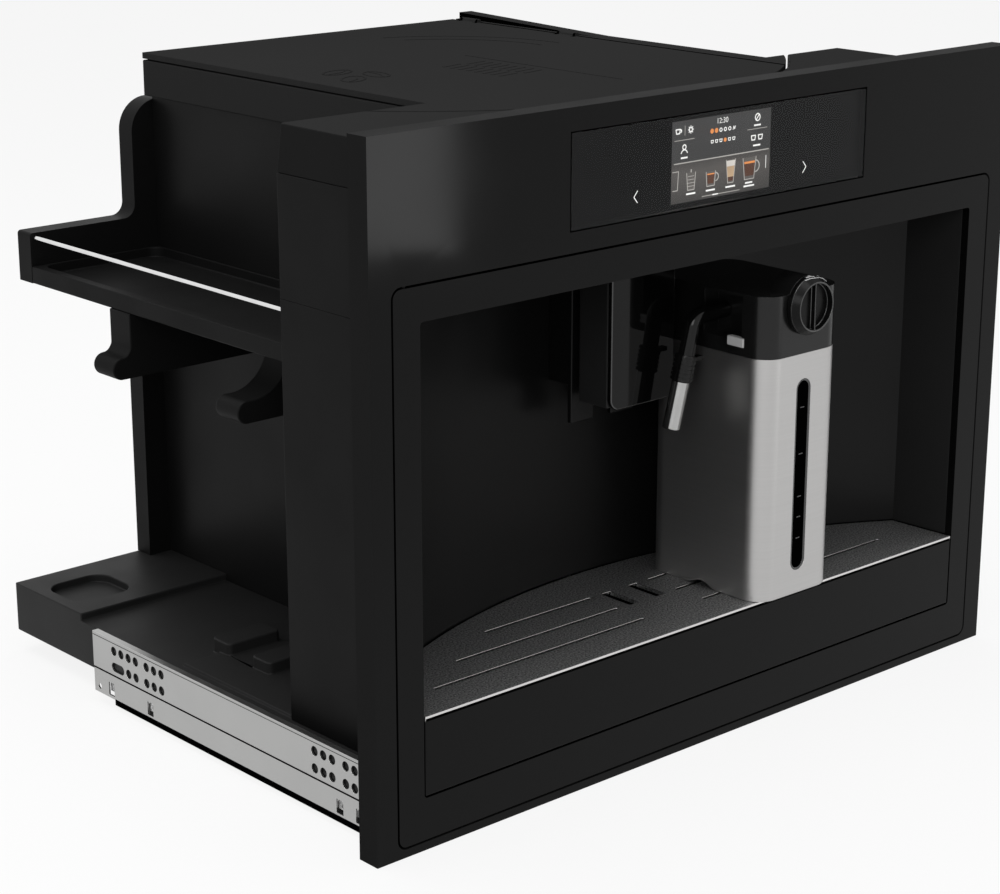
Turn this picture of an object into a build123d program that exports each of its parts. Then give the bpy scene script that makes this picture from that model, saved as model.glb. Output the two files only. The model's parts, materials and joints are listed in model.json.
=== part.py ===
from build123d import *
import math
import os

# Built-in coffee machine on pull-out rails, millimetres, +Z up.
# Working frame: x = 0 at the middle of the front panel, y = 0 at its front face with +Y into the
# cabinet, z = 0 at the panel's lower edge. Each written solid is moved in Y so that the origin is
# under the middle of the bounding box.

# ---------------------------------------------------------------- driving dimensions
panel_width = 596.0
panel_height = 455.0
panel_thickness = 17.6
body_depth = 470.0            # panel front to the rear faces
running_gap = 0.3             # between pieces that move past each other

door_half_width = 280.0
door_bottom = 7.0
door_top = 363.0
door_gap = 1.5
door_thickness = 6.0
door_corner = 6.0
seat_step = 0.4               # the panel's seat strips stand this much behind its middle
lip_thickness = 3.4           # stop lip behind the door, measured from the seat strips
niche_half_width = 259.5
niche_bottom = 35.4
niche_top = 341.0
niche_depth = 128.0
niche_arc = 480.0
niche_wall = 2.0
niche_draft = 3.0
draft_end = 52.0
pivot_radius = 1.5
pivot_length = 7.5
pivot_clearance = 0.06
pivot_inset = 10.0

glass_half_width = 138.0
glass_bottom = 378.5
glass_top = 439.4
glass_thickness = 4.0
glass_gap = 0.6
display_half_width = 47.5
display_height = 54.0
display_depth = 5.0

column_half_width = 264.0
column_rear = 131.0
upper_cover_height = 79.6
top_cover_height = 30.4
column_wall = 1.5
column_taper = 4.0
cover_wall = 2.0

top_height = 443.0
lid_thickness = 4.5
lid_seam = 1.0
lid_left = -142.6
lid_rear_margin = 13.0
lid_hinge_x = 163.0
lid_arc_x = 6.0
lid_arc_y = 305.0
lid_arc_radius = 261.0
lid_arc_gap = 3.0
frame_plate = 2.0
body_left = -138.0
body_right = 177.0
strip_right = 181.0
strip_rise = 5.0
strip_ramp_y = 295.0
hinge_barrel = 2.4
hinge_pin = 1.2
hinge_clearance = 0.06

rear_plate_depth = 17.0
rear_plate_left = -157.4
rear_plate_drop = 34.0
rear_plate_corner = 24.0
rear_skin = 2.5
wall_sheet = 2.0
vent_rows = 8
vent_pitch = 8.0
vent_height = 3.0
vent_length = 120.0
vent_margin = 33.0
vent_drop = 79.0

shelf_left = -248.5
shelf_bottom = 285.0
shelf_lip_top = 322.0
shelf_floor = 5.0
shelf_low_wall = 12.5
shelf_wall = 8.0
rod_radius = 1.5
rod_x = -245.0
rod_z = 318.6
arm_width = 25.0
arm_bottom = 239.0
arm_places = ((180.0, -221.5), (326.0, -249.0))   # front face and neck of each arm
nose_x = -256.2
nose_radius = 7.8

pan_half_width = 268.0
pan_bottom = 15.6
pan_top = 48.0
pan_rear_step = 5.5
pan_step_depth = 91.0
pan_skin = 2.5
pan_relief = 8.0
pan_plate = 2.0
bar_height = 8.5
well_floor = 34.0
recess_depth = 6.0
recess_left = -257.5
recess_width = 50.5
recess_front = 398.5
recess_length = 47.5
recess_corner = 14.0

tray_top = 87.0
grate_thickness = 3.0
tray_floor = 38.0
tray_wall = 2.0
tray_inset = 3.5
tray_side_rear = 84.0
tray_rear_half = 150.0
fascia_half_width = 258.5
fascia_bottom = 36.6
fascia_thickness = 4.0
grate_inset = 1.2
slot_width = 2.6
drain_width = 9.0
drain_start = 56.0
drain_end = 85.0
grounds_left = -1.0
grounds_right = 95.0
grounds_rear = 225.0
grounds_height = 50.0

spout_x = -7.5
spout_width = 60.0
spout_front = 65.0
spout_plate_thickness = 4.0
spout_body_depth = 28.0
spout_bottom = 231.0
spout_top = 336.0
spout_travel = 60.0
guide_front = 104.0
guide_bottom = 240.0
guide_lip_bottom = 213.0
guide_lip = 4.0
tongue_width = 16.0
tongue_depth = 12.0
nozzle_spacing = 26.0
nozzle_radius = 5.0
nozzle_drop = 4.0

jug_left = 39.6
jug_width = 78.0
jug_front = -5.0
jug_depth = 109.5
jug_corner = 16.0
jug_steel = 1.0
jug_liner_wall = 2.0
jug_shell_top = 264.6
jug_lid_top = 308.0
window_x = 79.0
window_width = 14.6
window_bottom = 107.5
window_top = 246.5
knob_x = 79.0
knob_z = 298.5
knob_radius = 20.5
knob_front_radius = 17.0
knob_length = 9.0
knob_ring = 3.5
knob_housing = 18.0
knob_shaft = 4.0
knob_travel_gap = 0.3
pipe_radius = 5.6
pipe_bore = 3.6
collar_radius = 7.0
collar_rib = 0.8
collar_ribs = 6
collar_length = 18.0
tip_length = 34.0
tip_radius = 6.2
button_travel = 2.0

rail_outer_face = 280.0
rail_sheet = 1.4
rail_top = 53.8
rail_seam = 26.6
rail_front = 20.0
rail_rear = 345.0
rail_bottom = 4.0
rail_middle_width = 6.4
rail_hole_radius = 3.4
rail_hole_pitch = 9.1
rail_hole_rows = (45.5, 33.4)
rail_hole_groups = ((318.0, 4), (277.2, 3), (85.5, 3), (53.4, 3))

hopper_left = -130.0
hopper_right = -22.0
hopper_front = 180.0
hopper_rear = 345.0
hopper_height = 103.5
grinder_x = -76.0
grinder_y = 262.0
grinder_radius = 40.0
grinder_height = 87.0
motor_radius = 30.0
chassis_shelf_top = 163.0
chassis_sheet = 2.0
chassis_height = 252.0
chassis_margin = 10.0
brew_left = -6.0
brew_right = 96.0
brew_front = 136.0
brew_rear = 236.0
brew_bottom = 96.0
brew_drop = 28.0
piston_radius = 24.0
piston_stroke = 30.0
tank_left = 20.0
tank_right = 172.0
tank_front = 262.0
tank_rear_margin = 30.0
tank_headroom = 3.5
tank_wall = 2.5
boiler_radius = 38.0
boiler_drop = 43.0
boiler_margin = 75.0
pump_margin = 60.0
hose_drop = 14.0
hose_bend = 12.0
dial_x = -110.0
dial_y = 325.0
inlet_x = 100.0
inlet_z = 84.0
pipe_drop = 31.0
collar_start = 27.0
screw_head_radius = 4.0
screw_head_height = 1.8
screw_shank_radius = 1.9
screw_length = 10.0
screw_side = 28.0
screw_top = 19.0
screw_low = 76.5
screw_clearance = 0.05
board_front = 160.0
board_length = 200.0
board_bottom = 62.0
board_height = 88.0
board_thickness = 1.6
board_gap = 5.0

# ---------------------------------------------------------------- worked-out places
panel_half = panel_width / 2
aperture_half = door_half_width + door_gap
aperture_bottom = door_bottom - door_gap
aperture_top = door_top + door_gap
lip_front = panel_thickness - lip_thickness
body_front = panel_thickness - seat_step
pivot_x = -(door_half_width - pivot_inset)
pivot_y = door_thickness / 2
lip_half = niche_half_width + niche_wall + 0.8
lip_low = well_floor - 1.0
lip_high = niche_top + niche_wall + 0.8
shell_bottom = tray_top + grate_thickness + 0.5
grate_top = tray_top + grate_thickness
jug_bottom = grate_top + running_gap
jug_right = jug_left + jug_width
jug_rear = jug_front + jug_depth
dock_front = jug_rear + 0.4
knob_front = jug_front - knob_travel_gap - knob_length
rear_most = body_depth + screw_head_height
shift_y = -(knob_front + rear_most) / 2
column_seam_high = top_height - top_cover_height
column_seam_low = column_seam_high - upper_cover_height
lid_bottom = top_height - lid_thickness
lid_rear = body_depth - lid_rear_margin
frame_top = lid_bottom - lid_seam
plate_bottom = frame_top - frame_plate
rear_plate_top = top_height - rear_plate_drop
rear_plate_front = body_depth - rear_plate_depth
pan_step_y = body_depth - pan_step_depth
hopper_bottom = plate_bottom - hopper_height
grinder_base = hopper_bottom - grinder_height
tank_rear = body_depth - tank_rear_margin
tank_top = frame_top - tank_headroom
boiler_y = body_depth - boiler_margin
pump_y = body_depth - pump_margin
hose_z = hopper_bottom - hose_drop
brew_top = hose_z - brew_drop
boiler_top = hose_z - boiler_drop
pan_rear_top = pan_top + pan_rear_step
tray_rear = niche_depth - tray_inset
spout_left = spout_x - spout_width / 2
spout_right = spout_x + spout_width / 2
spout_rear = spout_front + spout_plate_thickness + spout_body_depth
jug_lid_bottom = jug_shell_top + running_gap
jug_mid_x = jug_left + jug_width / 2
pipe_root = (jug_left + 26.0, 46.0, 291.0)
pipe_elbow = (jug_left - 16.5, 46.8, 290.0)
pipe_line = (-10.5, 1.5, -45.0)
rail_middle_outer = rail_outer_face - rail_sheet - running_gap
rail_inner_outer = rail_middle_outer - rail_middle_width - running_gap


# ---------------------------------------------------------------- helpers
def block(x0, x1, y0, y1, z0, z1):
    """A box between two corners."""
    return Pos((x0 + x1) / 2, (y0 + y1) / 2, (z0 + z1) / 2) * Box(x1 - x0, y1 - y0, z1 - z0)


def between(side, near, far, y0, y1, z0, z1):
    """A box between two distances from the middle, on the left (-1) or right (1)."""
    return block(min(side * near, side * far), max(side * near, side * far), y0, y1, z0, z1)


def upright(x, y, z0, z1, radius):
    """A cylinder along Z."""
    return Pos(x, y, (z0 + z1) / 2) * Cylinder(radius, z1 - z0)


def along_x(x0, x1, y, z, radius):
    """A cylinder along X."""
    return Pos((x0 + x1) / 2, y, z) * Rot(0, 90, 0) * Cylinder(radius, x1 - x0)


def along_y(x, y0, y1, z, radius):
    """A cylinder along Y."""
    return Pos(x, (y0 + y1) / 2, z) * Rot(90, 0, 0) * Cylinder(radius, y1 - y0)


def plan_block(x0, x1, y0, y1, z0, z1, radius):
    """A box whose four upright edges are rounded."""
    outline = Pos((x0 + x1) / 2, (y0 + y1) / 2, z0) * RectangleRounded(x1 - x0, y1 - y0, radius)
    return extrude(outline, z1 - z0)


def face_block(x0, x1, y0, y1, z0, z1, radius):
    """A box whose four edges along Y are rounded."""
    outline = RectangleRounded(x1 - x0, z1 - z0, radius)
    plate = extrude(Plane.XZ * outline, -(y1 - y0))
    return Pos((x0 + x1) / 2, y0, (z0 + z1) / 2) * plate


def one(shape):
    """The only solid of a shape that is a single piece."""
    solids = shape.solids()
    assert len(solids) == 1, "expected one solid, found %d" % len(solids)
    return solids[0]


def niche_space(inset, y0, z0, z1):
    """The cup niche's inside: drafted sides and a rear wall on a wide arc."""
    half = niche_half_width - inset
    narrow = half - niche_draft
    plan = Polygon((-half, 0), (half, 0), (narrow, draft_end), (narrow, niche_depth - inset),
                   (-narrow, niche_depth - inset), (-narrow, draft_end), align=None)
    room = extrude(Pos(0, 0, z0) * plan, z1 - z0) & block(-half, half, y0, niche_depth, z0, z1)
    return room & upright(0, niche_depth - niche_arc, z0, z1, niche_arc - inset)


def hollow_box(x0, x1, y0, y1, z0, z1, wall, radius=0.0):
    """An open-topped box with walls and a floor of one thickness."""
    if radius > wall:
        outer = plan_block(x0, x1, y0, y1, z0, z1, radius)
        inner = plan_block(x0 + wall, x1 - wall, y0 + wall, y1 - wall, z0 + wall, z1, radius - wall)
        return outer - inner
    return block(x0, x1, y0, y1, z0, z1) - block(x0 + wall, x1 - wall, y0 + wall, y1 - wall, z0 + wall, z1)


# ---------------------------------------------------------------- front
def front_panel():
    panel = block(-panel_half, panel_half, 0, panel_thickness, 0, panel_height)
    aperture = face_block(-aperture_half, aperture_half, 0, lip_front,
                          aperture_bottom, aperture_top, door_corner + door_gap)
    panel -= aperture
    panel -= block(-lip_half, lip_half, lip_front, panel_thickness, lip_low, lip_high)
    glass_hole = face_block(-glass_half_width - glass_gap, glass_half_width + glass_gap, 0,
                            glass_thickness, glass_bottom - glass_gap, glass_top + glass_gap, 2.0)
    display_mid = (glass_bottom + glass_top) / 2
    panel -= glass_hole
    panel -= block(-display_half_width, display_half_width, glass_thickness,
                   glass_thickness + display_depth,
                   display_mid - display_height / 2, display_mid + display_height / 2)
    panel -= block(-aperture_half, aperture_half, body_front, panel_thickness, 0, panel_height)
    bore = pivot_radius + pivot_clearance
    panel -= upright(pivot_x, pivot_y, aperture_top - 1, door_top + pivot_length + 1, bore)
    panel -= upright(pivot_x, pivot_y, 0, aperture_bottom + 1, bore)
    return one(panel)


def control_glass():
    return one(face_block(-glass_half_width, glass_half_width, 0, glass_thickness,
                          glass_bottom, glass_top, 1.6))


def display_module():
    mid = (glass_bottom + glass_top) / 2
    return one(block(-display_half_width, display_half_width, glass_thickness,
                     glass_thickness + display_depth, mid - display_height / 2, mid + display_height / 2))


def door_frame():
    plate = face_block(-door_half_width, door_half_width, 0, door_thickness,
                       door_bottom, door_top, door_corner)
    plate -= face_block(-niche_half_width, niche_half_width, 0, door_thickness,
                        niche_bottom, niche_top, 2.5)
    plate += upright(pivot_x, pivot_y, door_top, door_top + pivot_length, pivot_radius)
    plate += upright(pivot_x, pivot_y, door_bottom - door_gap - 4.5, door_bottom, pivot_radius)
    return one(plate)


def niche_shell():
    outer_top = niche_top + niche_wall
    outer = niche_space(-niche_wall, door_thickness, shell_bottom, outer_top)
    return one(outer - niche_space(0, door_thickness, shell_bottom, niche_top))


def spout_guide():
    column = block(spout_left, spout_right, guide_front, niche_depth, guide_bottom, niche_top)
    column += block(spout_left, spout_right, guide_front, guide_front + guide_lip, guide_lip_bottom,
                    niche_top)
    slot_half = tongue_width / 2 + running_gap
    column -= block(spout_x - slot_half, spout_x + slot_half, guide_front,
                    guide_front + tongue_depth, guide_lip_bottom, niche_top)
    return one(column & niche_space(0, door_thickness, guide_lip_bottom, niche_top))


def milk_dock():
    dock = face_block(jug_left + 10, jug_right - 10, dock_front, niche_depth, 262, jug_lid_top, 6)
    dock -= along_y(jug_mid_x, dock_front, dock_front + 10, 288, 6)
    return one(dock & niche_space(0, door_thickness, shell_bottom, niche_top))


# ---------------------------------------------------------------- spout
def spout_body():
    y0 = spout_front + spout_plate_thickness
    body = block(spout_left, spout_right, y0, spout_rear, spout_bottom, spout_top)
    tongue_rear = spout_rear + tongue_depth - running_gap + (guide_front - spout_rear)
    body += block(spout_x - tongue_width / 2, spout_x + tongue_width / 2, spout_rear - 1,
                  tongue_rear, spout_bottom + 6, spout_top)
    body -= block(spout_left + 3, spout_right - 3, y0 + 3, spout_rear - 3, spout_bottom + 3, spout_top - 3)
    for side in (-1, 1):
        body -= upright(spout_x + side * nozzle_spacing / 2, (y0 + spout_rear) / 2,
                        spout_bottom, spout_bottom + 4, nozzle_radius)
    return one(body)


def spout_plate():
    plate = face_block(spout_left, spout_right, spout_front, spout_front + spout_plate_thickness,
                       spout_bottom - 1, spout_top, 8)
    square_top = block(spout_left, spout_right, spout_front, spout_front + spout_plate_thickness,
                       spout_top - 20, spout_top)
    return one(plate + square_top)


def coffee_nozzles():
    mid_y = (spout_front + spout_plate_thickness + spout_rear) / 2
    nozzles = []
    for side in (-1, 1):
        x = spout_x + side * nozzle_spacing / 2
        tube = upright(x, mid_y, spout_bottom - nozzle_drop, spout_bottom + 4, nozzle_radius)
        tube -= upright(x, mid_y, spout_bottom - nozzle_drop, spout_bottom + 4, nozzle_radius - 1.5)
        nozzles.append(one(tube))
    return Compound(nozzles)


# ---------------------------------------------------------------- milk jug
def jug_block(inset, z0, z1):
    return plan_block(jug_left + inset, jug_right - inset, jug_front + inset, jug_rear - inset,
                      z0, z1, jug_corner - inset)


def window_slot(y0, y1, width):
    return face_block(window_x - width / 2, window_x + width / 2, y0, y1,
                      window_bottom, window_top, width / 2 - 0.01)


def jug_shell():
    shell = jug_block(0, jug_bottom, jug_shell_top) - jug_block(jug_steel, jug_bottom, jug_shell_top)
    shell -= window_slot(jug_front, jug_front + jug_steel, window_width)
    return one(shell - base_arch())


def base_arch():
    """The low bell-shaped cut-out under the jug's sides, for the fingers."""
    with BuildSketch(Plane.YZ) as arch:
        with BuildLine():
            rise = Spline((36, jug_bottom), (44, jug_bottom + 2.6), (50, jug_bottom + 3.8),
                          (56, jug_bottom + 2.6), (64, jug_bottom), tangents=((1, 0), (1, 0)))
            Line(rise @ 1, rise @ 0)
        make_face()
    return Pos(jug_left - 1, 0, 0) * extrude(arch.sketch, jug_width + 2)


def jug_liner():
    floor = jug_bottom + 8
    liner = jug_block(jug_steel, floor, jug_shell_top)
    liner -= jug_block(jug_steel + jug_liner_wall, floor + jug_liner_wall, jug_shell_top)
    return one(liner)


def recess_cut():
    return block(jug_left, jug_left + 14, 18, 53, 275, 306)


def jug_lid():
    lid = jug_block(0, jug_lid_bottom, jug_lid_top)
    lid += along_y(knob_x, jug_front, jug_front + knob_housing, knob_z, knob_radius)
    lid -= recess_cut()
    inner = jug_steel + jug_liner_wall + 2
    lid -= jug_block(inner, jug_lid_bottom, jug_lid_bottom + 5)
    lid -= along_y(knob_x, jug_front, jug_front + 12, knob_z, knob_shaft + 0.06)
    bore_end = pipe_root[0]
    lid -= along_x(jug_left + 14, bore_end, pipe_root[1], pipe_root[2], pipe_radius - 1)
    for button in button_blocks(button_travel + 1):
        lid -= button
    lid -= upright(jug_mid_x, 60, jug_lid_bottom, jug_lid_bottom + 12, 3.0)
    return one(lid)


def suction_tube():
    tube = upright(jug_mid_x, 60, jug_bottom + 18, jug_lid_bottom + 12, 3.0)
    return one(tube - upright(jug_mid_x, 60, jug_bottom + 18, jug_lid_bottom + 12, 2.0))


def button_blocks(depth):
    """The two pockets or, with no extra depth, the buttons' space inside the lid."""
    left = block(jug_left, jug_left + 4 + depth, 15.5, 31, 270.5, 277.5)
    right = block(jug_right - 4 - depth, jug_right, 15.5, 31, 270.5, 277.5)
    return (left, right)


def release_button(side):
    proud = 1.0
    play = 0.2
    depth = 4.0
    if side < 0:
        key = block(jug_left - proud, jug_left + depth, 15.5 + play, 31 - play, 270.5 + play, 277.5 - play)
    else:
        key = block(jug_right - depth, jug_right + proud, 15.5 + play, 31 - play, 270.5 + play, 277.5 - play)
    return one(key)


def froth_knob():
    """A round grip with a tapered rim and a dished front that leaves an upright ridge."""
    rear = jug_front - knob_travel_gap
    taper = knob_length - knob_ring
    rim = Pos(knob_x, rear - knob_ring - taper / 2, knob_z) * Rot(90, 0, 0)
    body = along_y(knob_x, rear - knob_ring, rear, knob_z, knob_radius)
    body += rim * Cone(knob_radius, knob_front_radius, taper)
    dish = knob_front_radius - 0.9
    body -= along_y(knob_x, knob_front, knob_front + 1.2, knob_z, dish)
    for side in (-1, 1):
        scoop = along_y(knob_x, knob_front, knob_front + 5.0, knob_z, dish)
        beside = between(side, 0.6, 60, knob_front, rear, knob_z - 40, knob_z + 40)
        body -= scoop & (Pos(knob_x, 0, 0) * beside)
    body += along_y(knob_x, rear - 1, jug_front + 11, knob_z, knob_shaft)
    return one(body)


def line_point(distance):
    """A point on the milk pipe's sloping axis, below its elbow."""
    length = math.sqrt(sum(c * c for c in pipe_line))
    return tuple(pipe_elbow[i] + pipe_line[i] * distance / length for i in range(3))


def sloping(start, end, radius):
    """A round bar along the milk pipe's sloping axis, between two distances from the elbow."""
    here = line_point(start)
    plane = Plane(origin=here, z_dir=Vector(*pipe_line))
    return extrude(plane * Circle(radius), end - start)


def milk_pipe():
    path = FilletPolyline(pipe_root, pipe_elbow, line_point(pipe_drop), radius=9.0)
    section = Plane(origin=pipe_root, z_dir=Vector(-1, 0, 0)) * Circle(pipe_radius)
    pipe = sweep(section, path)
    stub_end = jug_left + 14 - running_gap
    neck = along_x(stub_end - 0.5, pipe_root[0] - 0.5, pipe_root[1], pipe_root[2],
                   pipe_radius - 1 - 0.06)
    keep = block(jug_left - 80, stub_end, -50, 120, 200, 330)
    pipe = (pipe & keep) + neck
    pipe -= sloping(16, pipe_drop + 1, pipe_bore)
    return one(pipe)


def pipe_collar():
    collar = sloping(collar_start, collar_start + collar_length, collar_radius)
    pitch = (collar_length - 3) / (collar_ribs - 1)
    for i in range(collar_ribs):
        start = collar_start + 0.5 + i * pitch
        collar += sloping(start, start + 2.0, collar_radius + collar_rib)
    collar -= sloping(collar_start, pipe_drop, pipe_radius)
    collar -= sloping(pipe_drop, collar_start + collar_length, pipe_bore)
    here = line_point(collar_start + 4)
    tab = block(here[0] + collar_radius, here[0] + collar_radius + 8, here[1] - 2.5, here[1] + 2.5,
                here[2] - 1.5, here[2] + 1.5)
    return one(collar + tab)


def pipe_tip():
    start = collar_start + collar_length
    tip = sloping(start, start + tip_length, tip_radius)
    return one(tip - sloping(start, start + tip_length, pipe_bore))


# ---------------------------------------------------------------- drip tray
def tray_fascia():
    return one(block(-fascia_half_width, fascia_half_width, 0, fascia_thickness, fascia_bottom, tray_top))


def drip_grate():
    grate = niche_space(grate_inset, 0, tray_top, grate_top)
    gap_left = spout_x - 28.5
    gap_right = spout_x + 28.5
    rows = ((31.0, 225.0, 212.0), (57.0, 184.0, 171.0), (84.0, 135.0, 122.0))
    for y, left, right in rows:
        grate -= slot_cut(-left, gap_left, y)
        grate -= slot_cut(gap_right, right, y)
    for side in (-1, 1):
        x = spout_x + side * nozzle_spacing / 2
        grate -= plan_block(x - drain_width / 2, x + drain_width / 2, drain_start, drain_end,
                            tray_top, grate_top, 1.5)
    return one(grate)


def slot_cut(x0, x1, y):
    return plan_block(x0, x1, y - slot_width / 2, y + slot_width / 2, tray_top, grate_top,
                      slot_width / 2 - 0.01)


def tray_space(inset, z0, z1):
    """The tray's plan: a rectangle with its two rear corners cut off."""
    half = niche_half_width - niche_draft - tray_inset - inset
    front, rear = fascia_thickness + inset, tray_rear - inset
    side_rear, rear_half = tray_side_rear - inset / 2, tray_rear_half - inset / 2
    plan = Polygon((-half, front), (half, front), (half, side_rear), (rear_half, rear),
                   (-rear_half, rear), (-half, side_rear), align=None)
    return extrude(Pos(0, 0, z0) * plan, z1 - z0)


def drip_tray():
    tray = tray_space(0, tray_floor, tray_top) - tray_space(tray_wall, tray_floor + tray_wall, tray_top)
    tray += block(grounds_left, grounds_right, niche_depth - 40, grounds_rear - 2,
                  tray_floor - tray_wall, tray_floor)
    return one(tray)


def grounds_container():
    y0 = niche_depth + running_gap
    return one(hollow_box(grounds_left, grounds_right, y0, grounds_rear, tray_floor,
                          tray_floor + grounds_height, tray_wall, 10))


# ---------------------------------------------------------------- side covers and top
def column_cover(side, z0, z1, inner_x):
    """The cover around the niche on one side: an outer wall and a rear wall."""
    outer = side * column_half_width
    wall = side * (column_half_width - column_wall)
    cover = block(min(outer, wall), max(outer, wall), body_front, column_rear, z0, z1)
    rear = block(min(outer, inner_x), max(outer, inner_x), column_rear - column_wall, column_rear, z0, z1)
    return one(cover + rear)


def lid_circle(gap, z0, z1):
    return upright(lid_arc_x, lid_arc_y, z0, z1, lid_arc_radius + gap)


def lid_outline(x1, z0, z1, rear=lid_rear):
    """The top surface's plan: a rectangle behind the columns and a wide arc in front of them."""
    area = block(lid_left, x1, column_rear, rear, z0, z1)
    front = block(-panel_half, x1, body_front, column_rear, z0, z1)
    return area + (lid_circle(0, z0, z1) & front)


def front_top_cover():
    z0 = column_seam_high
    cover = block(-column_half_width, column_half_width, body_front, column_rear, z0, top_height)
    cover -= lid_circle(lid_arc_gap, z0, top_height)
    half = column_half_width - cover_wall - column_taper
    room = block(-half, half, body_front, column_rear - cover_wall, z0, top_height - cover_wall)
    cover -= room - lid_circle(lid_arc_gap + cover_wall, z0, top_height)
    for side in (-1, 1):
        cover -= taper_cut(side)
    return one(cover)


def taper_cut(side):
    """The wedge that narrows the top of a column."""
    x = side * column_half_width
    with BuildSketch(Plane.XZ) as wedge:
        with BuildLine():
            Polyline((x, column_seam_high), (x - side * column_taper, top_height),
                     (x + side * 5, top_height), (x + side * 5, column_seam_high), close=True)
        make_face()
    return extrude(wedge.sketch, -(column_rear + 5))


def knuckle_places():
    return ((lid_rear - 135, 15.0), (lid_rear - 20, 15.0))


def top_lid():
    lid = lid_outline(lid_hinge_x - 2.0, lid_bottom, top_height)
    for y, length in knuckle_places():
        lid -= block(lid_hinge_x - 6, lid_hinge_x, y - length / 2 - 5, y + length / 2 + 5,
                     lid_bottom, top_height)
        leaf = block(lid_hinge_x - 8, lid_hinge_x, y - length / 2, y + length / 2,
                     top_height - hinge_barrel, top_height)
        barrel = along_y(lid_hinge_x, y - length / 2, y + length / 2, top_height, hinge_barrel)
        lid += leaf + barrel
        lid -= along_y(lid_hinge_x, y - length, y + length, top_height, hinge_pin + hinge_clearance)
    return one(lid)


def hinge_strip():
    """The fixed strip right of the lid, raised at its rear, with the lid's hinge ears and pins."""
    x0 = lid_hinge_x + 1.2
    strip = block(x0, strip_right, column_rear, lid_rear, frame_top, top_height)
    corner = block(x0, panel_half, body_front, column_rear, frame_top, top_height)
    strip += lid_circle(0, frame_top, top_height) & corner
    with BuildSketch(Plane.YZ) as rib:
        with BuildLine():
            Polyline((strip_ramp_y, top_height), (lid_rear, top_height),
                     (lid_rear, top_height + strip_rise), close=True)
        make_face()
    strip += Pos(lid_hinge_x + 5, 0, 0) * extrude(rib.sketch, strip_right - lid_hinge_x - 5)
    ear = 2.5
    for y, length in knuckle_places():
        strip -= block(x0, lid_hinge_x + 3.4, y - length / 2 - 0.4, y + length / 2 + 0.4,
                       frame_top, top_height)
        for end in (y - length / 2 - ear - 0.4, y + length / 2 + 0.4):
            strip += block(lid_hinge_x - hinge_barrel, lid_hinge_x + 5, end, end + ear,
                           top_height - hinge_barrel, top_height)
            strip += along_y(lid_hinge_x, end, end + ear, top_height, hinge_barrel)
        strip += along_y(lid_hinge_x, y - length / 2 - 1, y + length / 2 + 1, top_height, hinge_pin)
    return one(strip)


def top_frame():
    """The band under the lid, with openings for the bean hopper and the water tank."""
    z0 = rear_plate_top + 2
    frame = lid_outline(strip_right, z0, frame_top)
    frame += lid_circle(0, z0, frame_top) & block(-panel_half, panel_half, body_front,
                                                  column_rear, z0, frame_top)
    wall = cover_wall
    frame -= block(lid_left + wall, strip_right - wall, column_rear - wall, lid_rear - wall,
                   z0, plate_bottom)
    frame -= lid_circle(-wall, z0, plate_bottom) & block(-panel_half, panel_half, body_front,
                                                         column_rear - wall, z0, plate_bottom)
    frame -= block(-panel_half, panel_half, body_front, column_rear, z0, column_seam_high + 0.4)
    frame -= plan_block(hopper_left + 3, hopper_right - 3, hopper_front + 3, hopper_rear - 3,
                        z0, frame_top, 8)
    frame -= plan_block(tank_left + 4, tank_right - 16, tank_front + 4, tank_rear - 4, z0, frame_top, 8)
    return one(frame)


def left_wall():
    return one(block(body_left, body_left + wall_sheet, column_rear, rear_plate_front,
                     pan_top, frame_top - frame_plate) - pan_rear_part())


def right_wall():
    wall = block(body_right - wall_sheet, body_right, column_rear, rear_plate_front,
                 pan_top, frame_top - frame_plate)
    wall -= pan_rear_part()
    vent_rear = rear_plate_front - vent_margin
    for row in range(vent_rows):
        z = rear_plate_top - vent_drop + row * vent_pitch
        wall -= block(body_right - wall_sheet, body_right, vent_rear - vent_length, vent_rear,
                      z, z + vent_height)
    return one(wall)


def pan_rear_part():
    """The rear step of the pan, as a tool that trims what stands on the pan."""
    return block(-pan_half_width, pan_half_width, pan_step_y, body_depth, pan_bottom, pan_rear_top)


def rear_plate():
    with BuildSketch(Plane.XZ) as outline:
        with BuildLine():
            Polyline((rear_plate_left, pan_rear_top), (body_right, pan_rear_top),
                     (body_right, rear_plate_top), (rear_plate_left, rear_plate_top),
                     (rear_plate_left, shelf_lip_top), (shelf_left, shelf_lip_top),
                     (shelf_left, shelf_bottom), (rear_plate_left, shelf_bottom), close=True)
        make_face()
        top_corner = outline.vertices().filter_by_position(Axis.X, rear_plate_left - 1, rear_plate_left + 1)
        fillet(top_corner.sort_by(Axis.Y)[-1], rear_plate_corner)
        inner = outline.vertices().filter_by_position(Axis.X, rear_plate_left - 1, rear_plate_left + 1)
        fillet(inner.filter_by_position(Axis.Y, shelf_lip_top - 1, shelf_lip_top + 1), 10)
        outer = outline.vertices().filter_by_position(Axis.X, shelf_left - 1, shelf_left + 1)
        fillet(outer.sort_by(Axis.Y)[-1], 2.5)
    plate = Pos(0, rear_plate_front, 0) * extrude(outline.sketch, -rear_plate_depth)
    skin_y = body_depth - rear_skin
    plate -= block(body_left + wall_sheet, body_right - wall_sheet, rear_plate_front, skin_y,
                   pan_rear_top + 4, rear_plate_top - 4)
    plate -= block(inlet_x - 22, inlet_x + 42, skin_y, body_depth, inlet_z - 16, inlet_z + 16)
    for x, z in screw_places():
        plate -= along_y(x, skin_y, body_depth, z, screw_shank_radius + screw_clearance)
    return one(plate)


def screw_places():
    left, right = body_left + screw_side, body_right - screw_side
    low, high = pan_rear_top + screw_low, rear_plate_top - screw_top
    return [(x, z) for x in (left, (left + right) / 2, right) for z in (low, (low + high) / 2, high)]


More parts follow.
